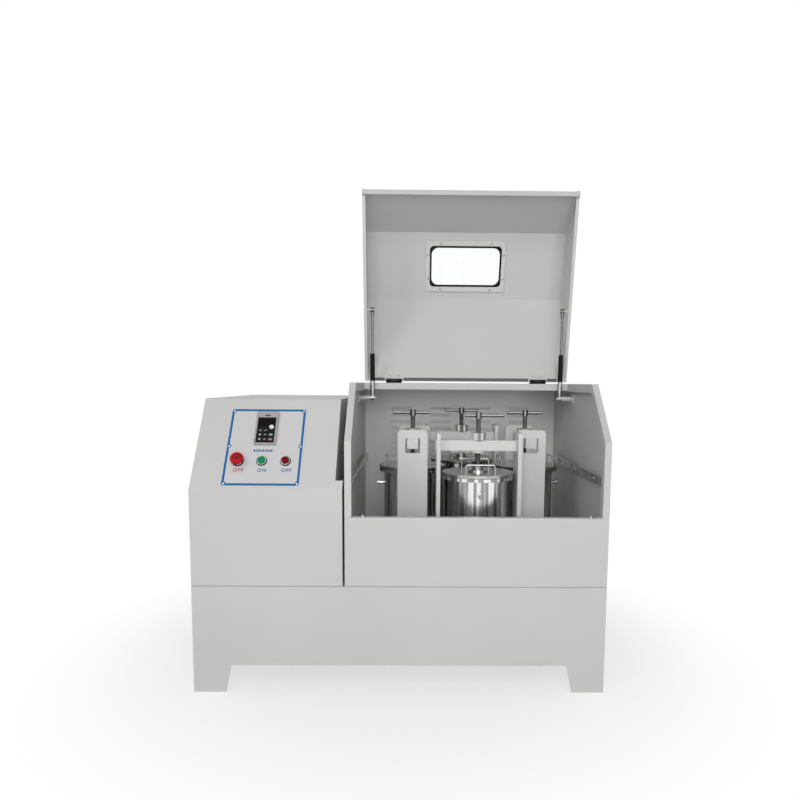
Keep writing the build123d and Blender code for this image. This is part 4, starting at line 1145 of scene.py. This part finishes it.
@dataclass
class Hood:
    """Tilting hood with its window, drawn at its open rest."""

    hinge: tuple = (106.0, 949.0)
    opening: float = 117.0
    centre_x: float = 230.0
    rear_edge: tuple = (-2.0, 8.0)
    back_bend: tuple = (-351.0, -6.0)
    front_bend: tuple = (-525.0, -181.0)
    sheet: float = 2.0
    frame_thickness: float = 6.0
    window: tuple = (300.0, 188.0)
    window_opening: tuple = (266.0, 146.0)
    window_corner: float = 21.0
    gasket_reach: tuple = (4.0, -10.0)
    gasket_corners: tuple = (15.0, 25.0)
    gasket_depth: float = 4.05
    gasket_height: float = 2.4
    moulding_reach: tuple = (12.0, -8.0)
    moulding_height: float = 1.8
    frame_screw: float = 4.6
    frame_screw_inset: tuple = (8.5, 10.5)
    frame_screw_spread: tuple = (94.0, 44.0)
    leaf: float = 2.5
    leaf_screw: float = 4.0
    leaf_screw_reach: float = 19.0
    leaf_screw_spread: float = 17.0
    leaf_top: float = 943.5
    leaf_black: float = 7.5
    hinge_spacing: float = 531.0
    # Runs and width of the grey strip of painted shade along the hem.
    strip_runs: tuple = ((-336.0, -300.0), (-231.0, 231.0), (300.0, 336.0))
    strip_width: float = 11.0

    def turned_point(self, u: float, v: float) -> tuple:
        """Moves a point of the shut hood to its open place.

        Args:
            u: millimetres behind the hinge axis when shut.
            v: millimetres above it when shut.

        Returns:
            Its y and z in the row frame.
        """
        angle = -math.radians(self.opening)
        return (
            self.hinge[0] + u * math.cos(angle) - v * math.sin(angle),
            self.hinge[1] + u * math.sin(angle) + v * math.cos(angle),
        )

    def turned_direction(self, u: float, v: float) -> tuple:
        """Turns a direction of the shut hood's profile to its open one.

        Args:
            u: its part to the rear.
            v: its part upward.

        Returns:
            The direction in the row frame.
        """
        start, end = self.turned_point(0, 0), self.turned_point(u, v)
        return (0.0, end[0] - start[0], end[1] - start[1])

    def slant(self, depth: float) -> Matrix:
        """Gives the plane of the window panel.

        Args:
            depth: millimetres inward from its outer face.

        Returns:
            A plane centred on the window, with its normal into the hood.
        """
        back, front = Vector(self.back_bend), Vector(self.front_bend)
        along = (front - back).normalized()
        inward = Vector((-along.y, along.x))
        spot = self.turned_point(*((back + front) / 2 + inward * depth))
        return place((self.centre_x, *spot), (1, 0, 0), self.turned_direction(*inward))

    def tilt(self) -> float:
        """Gives the shut top sheet's rise per millimetre to the rear."""
        return (self.rear_edge[1] - self.back_bend[1]) / (self.rear_edge[0] - self.back_bend[0])

    def under_top(self, u: float, depth: float, across: float = 0.0) -> Matrix:
        """Gives a plane under the hood's top sheet.

        Args:
            u: millimetres behind the hinge axis when shut.
            depth: millimetres below the sheet's outer face there, square to it.
            across: millimetres to the right of the hood's middle.

        Returns:
            A plane with its normal into the hood.
        """
        tilt = self.tilt()
        v = self.rear_edge[1] + (u - self.rear_edge[0]) * tilt - depth * math.hypot(1, tilt)
        spot = (self.centre_x + across, *self.turned_point(u, v))
        return place(spot, (1, 0, 0), self.turned_direction(tilt, -1.0))

    def dress(self, shop: FinishShop) -> None:
        """Gives the hood's nodes their finishes.

        Args:
            shop: where the finishes are made.
        """
        shop.dress("hood_shell", Finish.PANEL)
        shop.dress("window_frame", Finish.FRAME)
        shop.dress("window_pane", Finish.GLASS)
        leaf = TwoPart(
            "hinge_leaf",
            start=(0.0, *self.hinge),
            along=(0, 0, 1),
            distance=self.leaf_black,
            near=linear(16, 16, 16),
            near_metallic=0.0,
            far=Finish.PANEL.value.colour,
            far_metallic=0.0,
            roughness=0.4,
            gloss=0.3,
        )
        shop.dress("hood_fittings", leaf)
        shop.dress("hinge_fixed_leaves", Finish.GASKET_AND_SHADE)

    def window_trim(self, shop: FinishShop) -> None:
        """Adds the rubber round the pane and the screws of its frame.

        Args:
            shop: where the finishes are made.
        """
        width, height = self.window_opening
        gasket = Blank("window_gasket")
        edges = [
            rounded(width + reach, height + reach, corner)
            for reach, corner in zip(self.gasket_reach, self.gasket_corners)
        ]
        gasket.band(self.slant(self.sheet + self.gasket_depth), *edges, self.gasket_height)
        gasket.fit("hood", shop.get(Finish.GASKET_AND_SHADE))
        moulding = Blank("window_moulding")
        edges = [
            rounded(width + reach, height + reach, self.window_corner + reach / 2)
            for reach in self.moulding_reach
        ]
        moulding.band(self.slant(-self.moulding_height), *edges, self.moulding_height)
        moulding.fit("hood", shop.get(Finish.GASKET_AND_SHADE))
        screws = Blank("window_screws")
        columns = self.window[0] / 2 - self.frame_screw_inset[0]
        rows = self.window[1] / 2 - self.frame_screw_inset[1]
        spots = [(sx * self.frame_screw_spread[0], sy * rows) for sx in (-1, 1) for sy in (-1, 1)]
        spots += [(sx * columns, sy * self.frame_screw_spread[1]) for sx in (-1, 1) for sy in (-1, 1)]
        face = self.slant(self.sheet + self.frame_thickness)
        for x, y in spots:
            Fasteners.pan_screw(screws, face @ Matrix.Translation((x * MM, y * MM, 0)), self.frame_screw)
        screws.fit("hood", shop.get(Finish.FASTENER))

    def hem_shade_strip(self, shop: FinishShop) -> None:
        """Adds a grey strip along the rear hem's inner face that stands in for the hem's shadowed fold:
        painted shade.

        Args:
            shop: where the finishes are made.
        """
        face = self.under_top(self.rear_edge[0] - self.strip_width / 2 - 0.5, 2 * self.sheet)
        strip = Blank("hood_hem_painted_shade")
        for start, end in self.strip_runs:
            centre = ((start + end) / 2, 0.0)
            strip.prism(face, rounded(end - start, self.strip_width, 1.5, centre, steps=3), 1.6)
        strip.fit("hood", shop.get(Finish.HEM_SHADE))

    def hinge_screws(self, shop: FinishShop) -> None:
        """Adds the screws of both leaves of both hinges.

        Args:
            shop: where the finishes are made.
        """
        depth = self.sheet + self.leaf / math.hypot(1, self.tilt())
        moving = Blank("hood_leaf_screws")
        fixed = Blank("ledge_leaf_screws")
        for side in (-1, 1):
            for offset in (-self.leaf_screw_spread, self.leaf_screw_spread):
                across = side * self.hinge_spacing / 2 + offset
                at = self.under_top(-self.leaf_screw_reach, depth, across)
                Fasteners.pan_screw(moving, at, self.leaf_screw)
                spot = (self.centre_x + across, self.hinge[0] + self.leaf_screw_reach, self.leaf_top)
                Fasteners.pan_screw(fixed, place(spot), self.leaf_screw)
        moving.fit("hood", shop.get(Finish.FASTENER))
        fixed.fit("base", shop.get(Finish.FASTENER))

    def build(self, shop: FinishShop) -> None:
        """Adds the window's trim, the grey strip of painted shade along the hem and the hinges' screws.

        Args:
            shop: where the finishes are made.
        """
        self.window_trim(shop)
        self.hem_shade_strip(shop)
        self.hinge_screws(shop)


@dataclass
class GasStrut:
    """One gas strut, with its bright ends and fixings."""

    side: str
    row_x: float
    foot: tuple = (84.0, 886.0)
    head: tuple = (75.0, 1201.0)
    bright_end: float = 62.0
    clip_reach: float = 22.0
    wall_reach: float = 46.0
    bracket_screw: float = 3.6
    bracket_screws: tuple = (-11.0, 11.0)

    def axis(self) -> Vector:
        """Gives the direction from the lower pivot to the upper one."""
        return Vector((0, self.head[0] - self.foot[0], self.head[1] - self.foot[1])).normalized()

    def dress(self, shop: FinishShop) -> None:
        """Gives the tube and the rod their finishes.

        Args:
            shop: where the finishes are made.
        """
        tube = TwoPart(
            f"strut_tube_{self.side}",
            start=(self.row_x, *self.foot),
            along=tuple(self.axis()),
            distance=self.bright_end,
            near=linear(170, 170, 169),
            near_metallic=1.0,
            far=linear(14, 14, 14),
            far_metallic=0.0,
            roughness=0.36,
            gloss=0.1,
        )
        shop.dress(f"strut_cylinder_{self.side}", tube)
        shop.dress(f"strut_rod_{self.side}", Finish.ROD)

    def build(self, shop: FinishShop) -> None:
        """Adds the wire clip of the lower socket and the bracket's screws.

        Args:
            shop: where the finishes are made.
        """
        way = self.axis()
        foot = Vector((self.row_x, *self.foot))
        clip = Blank(f"strut_clip_{self.side}")
        at = place(tuple(foot + way * self.clip_reach), (1, 0, 0), tuple(way))
        clip.turned(at, [(8.6, 0.0), (9.1, 0.8), (9.1, 2.2), (8.6, 3.0)], 28)
        clip.fit(f"strut_cylinder_{self.side}", shop.get(Finish.CHROME))
        inward = 1 if self.side == "left" else -1
        wall = self.row_x - inward * self.wall_reach
        fixings = Blank(f"bracket_screws_{self.side}")
        for step in self.bracket_screws:
            at = place((wall, self.foot[0], self.foot[1] + step), (0, 1, 0), (inward, 0, 0))
            Fasteners.pan_screw(fixings, at, self.bracket_screw)
        fixings.fit("base", shop.get(Finish.FASTENER))


@dataclass
class Drive:
    """Motor, pulleys, belts, gears and carrier under and inside the chamber."""

    rotor: tuple = (235.0, -10.0)
    hub_top: float = 412.0
    hub_circle: float = 30.0
    hub_bolts: int = 6
    hub_screw: float = 7.0
    motor: tuple = (-395.0, -10.0)
    motor_flange: float = 294.0
    motor_circle: float = 115.0
    motor_bolts: int = 4
    motor_bolt: tuple = (13.0, 6.0)

    def dress(self, shop: FinishShop) -> None:
        """Gives the drive's nodes their finishes.

        Args:
            shop: where the finishes are made.
        """
        for node, finish in (
            ("drive_motor", Finish.MOTOR),
            ("drive_belts", Finish.BELT),
            ("driven_pulley", Finish.CAST),
            ("motor_pulley", Finish.CAST),
            ("sun_gear", Finish.GEAR),
            ("main_shaft", Finish.GEAR),
            ("carrier_disc", Finish.GEAR),
            ("strut_brackets", Finish.FRAME),
        ):
            shop.dress(node, finish)

    def build(self, shop: FinishShop) -> None:
        """Adds the carrier's bolts and the motor's.

        Args:
            shop: where the finishes are made.
        """
        ring = Blank("carrier_bolts")
        for x, y in turned_spots(self.rotor, self.hub_circle, self.hub_bolts):
            Fasteners.socket_cap(ring, place((x, y, self.hub_top)), self.hub_screw)
        ring.fit("rotor", shop.get(Finish.FASTENER))
        seat = Blank("motor_bolts")
        for x, y in turned_spots(self.motor, self.motor_circle, self.motor_bolts, math.pi / 4):
            Fasteners.hex_bolt(seat, place((x, y, self.motor_flange)), *self.motor_bolt)
        seat.fit("base", shop.get(Finish.FASTENER))


@dataclass
class Station:
    """One clamped jar on its planet: frame, crossbar, screw, jar and lid."""

    number: int
    rotor: tuple = (235.0, -10.0)
    orbit: float = 200.0
    start: float = -86.0
    jar_radius: float = 99.5
    flange_radius: float = 116.5
    jar_top: float = 644.7
    nut_level: float = 758.0
    nut_across: float = 46.3
    nut_height: float = 24.3
    screw_reach: float = 8.2
    seal_edges: tuple = (0.35, -0.4)
    seal_height: float = 1.1
    base_bolt: float = 5.0
    base_bolt_level: float = 421.2
    base_bolt_reach: float = 136.0
    base_bolt_spread: float = 30.0
    valve_level: float = 590.7
    valve_length: float = 16.0

    def plane(self, level: float) -> Matrix:
        """Gives the station's own plane at a level.

        Args:
            level: its height in millimetres.

        Returns:
            A plane with x along the crossbar and its normal upward.
        """
        turn = math.radians(90.0 * (self.number - 1))
        bearing = math.radians(self.start) + turn
        x, y = polar(self.orbit, bearing)
        return place((self.rotor[0] + x, self.rotor[1] + y, level), (math.cos(turn), math.sin(turn), 0))

    def dress(self, shop: FinishShop) -> None:
        """Gives the station's nodes their finishes.

        Args:
            shop: where the finishes are made.
        """
        for node, finish in (
            ("jar_frame", Finish.FRAME),
            ("crossbar", Finish.FRAME),
            ("milling_jar", Finish.STAINLESS),
            ("jar_lid", Finish.LID),
            ("pressure_foot", Finish.CHROME),
            ("clamp_screw", Finish.SCREW),
        ):
            shop.dress(f"{node}_{self.number}", finish)

    def build(self, shop: FinishShop) -> None:
        """Adds the lid's seal, the clamp nut, the base's bolts and the valve's knurl.

        Args:
            shop: where the finishes are made.
        """
        body = f"station_{self.number}"
        seal = Blank(f"jar_seal_{self.number}")
        edges = [circle(self.flange_radius + proud, steps=72) for proud in self.seal_edges]
        seal.band(self.plane(self.jar_top - 0.5), *edges, self.seal_height)
        seal.fit(body, shop.get(Finish.GASKET_AND_SHADE))
        nut = Blank(f"clamp_nut_{self.number}")
        corners = [math.pi / 3 * side + math.pi / 6 for side in range(6)]
        outline = [polar(self.nut_across / math.sqrt(3), angle) for angle in corners]
        hole = [polar(self.screw_reach, angle) for angle in corners]
        nut.band(self.plane(self.nut_level), outline, hole, self.nut_height)
        nut.fit(body, shop.get(Finish.FASTENER))
        bolts = Blank(f"frame_bolts_{self.number}")
        for side in (-1, 1):
            for across in (-self.base_bolt_spread, self.base_bolt_spread):
                shift = Matrix.Translation((side * self.base_bolt_reach * MM, across * MM, 0))
                outward = Matrix.Rotation(side * math.pi / 2, 4, "Y")
                at = self.plane(self.base_bolt_level) @ shift @ outward
                Fasteners.socket_cap(bolts, at, self.base_bolt)
        bolts.fit(body, shop.get(Finish.FASTENER))
        valve = Blank(f"valve_knurl_{self.number}")
        reach = self.jar_radius + self.valve_length + 1.0
        forward = Matrix.Translation((0, -reach * MM, 0)) @ Matrix.Rotation(math.pi / 2, 4, "X")
        ridges = [polar(8.5 if step % 2 else 8.05, 2 * math.pi * step / 36) for step in range(36)]
        valve.prism(self.plane(self.valve_level) @ forward, ridges, 6.0, 0.4)
        valve.fit(body, shop.get(Finish.CHROME))


# ---------------------------------------------------------------- studio
@dataclass(frozen=True)
class SoftBox:
    """A rectangular soft light: where it hangs, what it faces, its size in metres and its power."""

    name: str
    spot: tuple
    target: tuple
    size: tuple
    watts: float

    def hang(self) -> None:
        """Hangs the light in the scene."""
        data = bpy.data.lights.new(self.name, "AREA")
        data.shape = "RECTANGLE"
        data.size, data.size_y = self.size
        data.energy = self.watts
        box = bpy.data.objects.new(self.name, data)
        box.location = self.spot
        facing = Vector(self.target) - Vector(self.spot)
        box.rotation_euler = facing.to_track_quat("-Z", "Y").to_euler()
        bpy.context.scene.collection.objects.link(box)


@dataclass
class Studio:
    """Camera, white floor, soft lights and surroundings."""

    image_side: int = 800
    sensor: float = 36.0
    focal: float = 673.19
    centre: tuple = (422.228, 454.543)
    pitch: float = 0.10628
    yaw: float = 0.01142
    roll: float = 0.00751
    eye: tuple = (42.185, -2391.10, 941.835)
    sky: float = 0.2
    floor_size: float = 30.0
    floor_colour: tuple = (0.82, 0.82, 0.82, 1.0)
    fade: tuple = (0.45, 1.3)
    fade_start: float = 0.66
    lights: tuple = (
        SoftBox("key_light", (-3.2, -3.6, 3.4), (0, 0, 0.7), (1.3, 2.0), 46.0),
        SoftBox("high_light", (0.1, -3.4, 3.1), (0.2, 0, 0.7), (2.4, 1.6), 32.0),
        SoftBox("front_light", (0.3, -4.2, 1.6), (0.1, 0, 0.8), (2.6, 2.0), 60.0),
    )

    def camera(self) -> None:
        """Sets up the camera that frames the square image."""
        sin_p, cos_p = math.sin(self.pitch), math.cos(self.pitch)
        sin_y, cos_y = math.sin(self.yaw), math.cos(self.yaw)
        forward = Vector((sin_y * cos_p, cos_y * cos_p, -sin_p))
        right = Vector((cos_y, -sin_y, 0))
        upward = Vector((sin_y * sin_p, cos_y * sin_p, cos_p))
        tilt_right = right * math.cos(self.roll) + upward * math.sin(self.roll)
        tilt_up = upward * math.cos(self.roll) - right * math.sin(self.roll)
        matrix = Matrix((tilt_right, tilt_up, -forward)).transposed().to_4x4()
        matrix.translation = Vector(self.eye) * MM
        data = bpy.data.cameras.new("camera")
        data.sensor_width = self.sensor
        data.lens = self.focal / self.image_side * self.sensor
        data.shift_x = -(self.centre[0] - self.image_side / 2) / self.image_side
        data.shift_y = (self.centre[1] - self.image_side / 2) / self.image_side
        data.clip_end = 2 * self.floor_size
        camera = bpy.data.objects.new("camera", data)
        camera.matrix_world = matrix
        bpy.context.scene.collection.objects.link(camera)
        bpy.context.scene.camera = camera

    def seen(self, shader_tree: bpy.types.NodeTree) -> bpy.types.NodeSocket:
        """Adds nodes that give 1 for camera, glossy and transmission rays.

        Args:
            shader_tree: the node tree of a world or material.

        Returns:
            The socket with that value.
        """
        path = shader_tree.nodes.new("ShaderNodeLightPath")
        first = shader_tree.nodes.new("ShaderNodeMath")
        first.operation = "MAXIMUM"
        second = shader_tree.nodes.new("ShaderNodeMath")
        second.operation = "MAXIMUM"
        shader_tree.links.new(path.outputs["Is Camera Ray"], first.inputs[0])
        shader_tree.links.new(path.outputs["Is Glossy Ray"], first.inputs[1])
        shader_tree.links.new(first.outputs[0], second.inputs[0])
        shader_tree.links.new(path.outputs["Is Transmission Ray"], second.inputs[1])
        return second.outputs[0]

    def surroundings(self) -> None:
        """Makes a white surround to the eye that lights softly."""
        world = bpy.data.worlds.new("surroundings")
        bpy.context.scene.world = world
        world.use_nodes = True
        tree = world.node_tree
        tree.nodes.clear()
        mix = tree.nodes.new("ShaderNodeMixShader")
        tree.links.new(self.seen(tree), mix.inputs["Fac"])
        for socket, strength in ((1, self.sky), (2, 1.0)):
            white = tree.nodes.new("ShaderNodeBackground")
            white.inputs["Color"].default_value = WHITE
            white.inputs["Strength"].default_value = strength
            tree.links.new(white.outputs[0], mix.inputs[socket])
        out = tree.nodes.new("ShaderNodeOutputWorld")
        tree.links.new(mix.outputs[0], out.inputs["Surface"])

    def floor(self) -> None:
        """Lays a pale floor that turns plain white away from the machine and keeps its shadow."""
        mesh = bmesh.new()
        bmesh.ops.create_grid(mesh, x_segments=2, y_segments=2, size=self.floor_size)
        data = bpy.data.meshes.new("floor")
        mesh.to_mesh(data)
        mesh.free()
        floor = bpy.data.objects.new("floor", data)
        bpy.context.scene.collection.objects.link(floor)
        data.materials.append(self.floor_material())

    def floor_material(self) -> bpy.types.Material:
        """Builds the floor's paint, with a glow that grows with the distance.

        Returns:
            The material.
        """
        shader = Shader("studio_floor")
        surface = shader.surface
        surface.inputs["Roughness"].default_value = 0.85
        surface.inputs["Specular IOR Level"].default_value = 0.1
        patch = shader.noise(0.8, 2.0)
        paint = shader.between(patch, scaled(self.floor_colour, 0.99), self.floor_colour)
        shader.join(paint, surface.inputs["Base Color"])
        length = shader.add("VectorMath", operation="LENGTH")
        shader.join(shader.place_node.outputs["Object"], length.inputs[0])
        far = shader.add("MapRange")
        far.interpolation_type = "SMOOTHSTEP"
        far.inputs["From Min"].default_value, far.inputs["From Max"].default_value = self.fade
        far.inputs["To Min"].default_value = self.fade_start
        far.inputs["To Max"].default_value = 1.0
        shader.join(length.outputs["Value"], far.inputs["Value"])
        both = shader.add("Math", operation="MULTIPLY")
        shader.join(self.seen(shader.tree), both.inputs[0])
        shader.join(far.outputs["Result"], both.inputs[1])
        glow = shader.add("Emission")
        glow.inputs["Color"].default_value = WHITE
        glow.inputs["Strength"].default_value = 1.0
        mix = shader.add("MixShader")
        shader.join(both.outputs[0], mix.inputs["Fac"])
        shader.join(surface.outputs[0], mix.inputs[1])
        shader.join(glow.outputs[0], mix.inputs[2])
        shader.join(mix.outputs[0], shader.tree.nodes["Material Output"].inputs["Surface"])
        return shader.material

    def build(self) -> None:
        """Sets the whole studio."""
        self.camera()
        self.surroundings()
        self.floor()
        for light in self.lights:
            light.hang()
        bpy.context.scene.view_settings.view_transform = "Standard"
        log.info("studio set")


def main() -> None:
    """Builds the studio and each sub-assembly in turn."""
    logging.basicConfig(level=logging.INFO, format="%(message)s")
    shop = FinishShop()
    Studio().build()
    assemblies = [Enclosure(), ControlPanel(), Hood(), Drive()]
    assemblies += [GasStrut("left", -113.0), GasStrut("right", 573.0)]
    assemblies += [Station(number) for number in (1, 2, 3, 4)]
    for assembly in assemblies:
        assembly.dress(shop)
        assembly.build(shop)


if __name__ == "__main__":
    main()
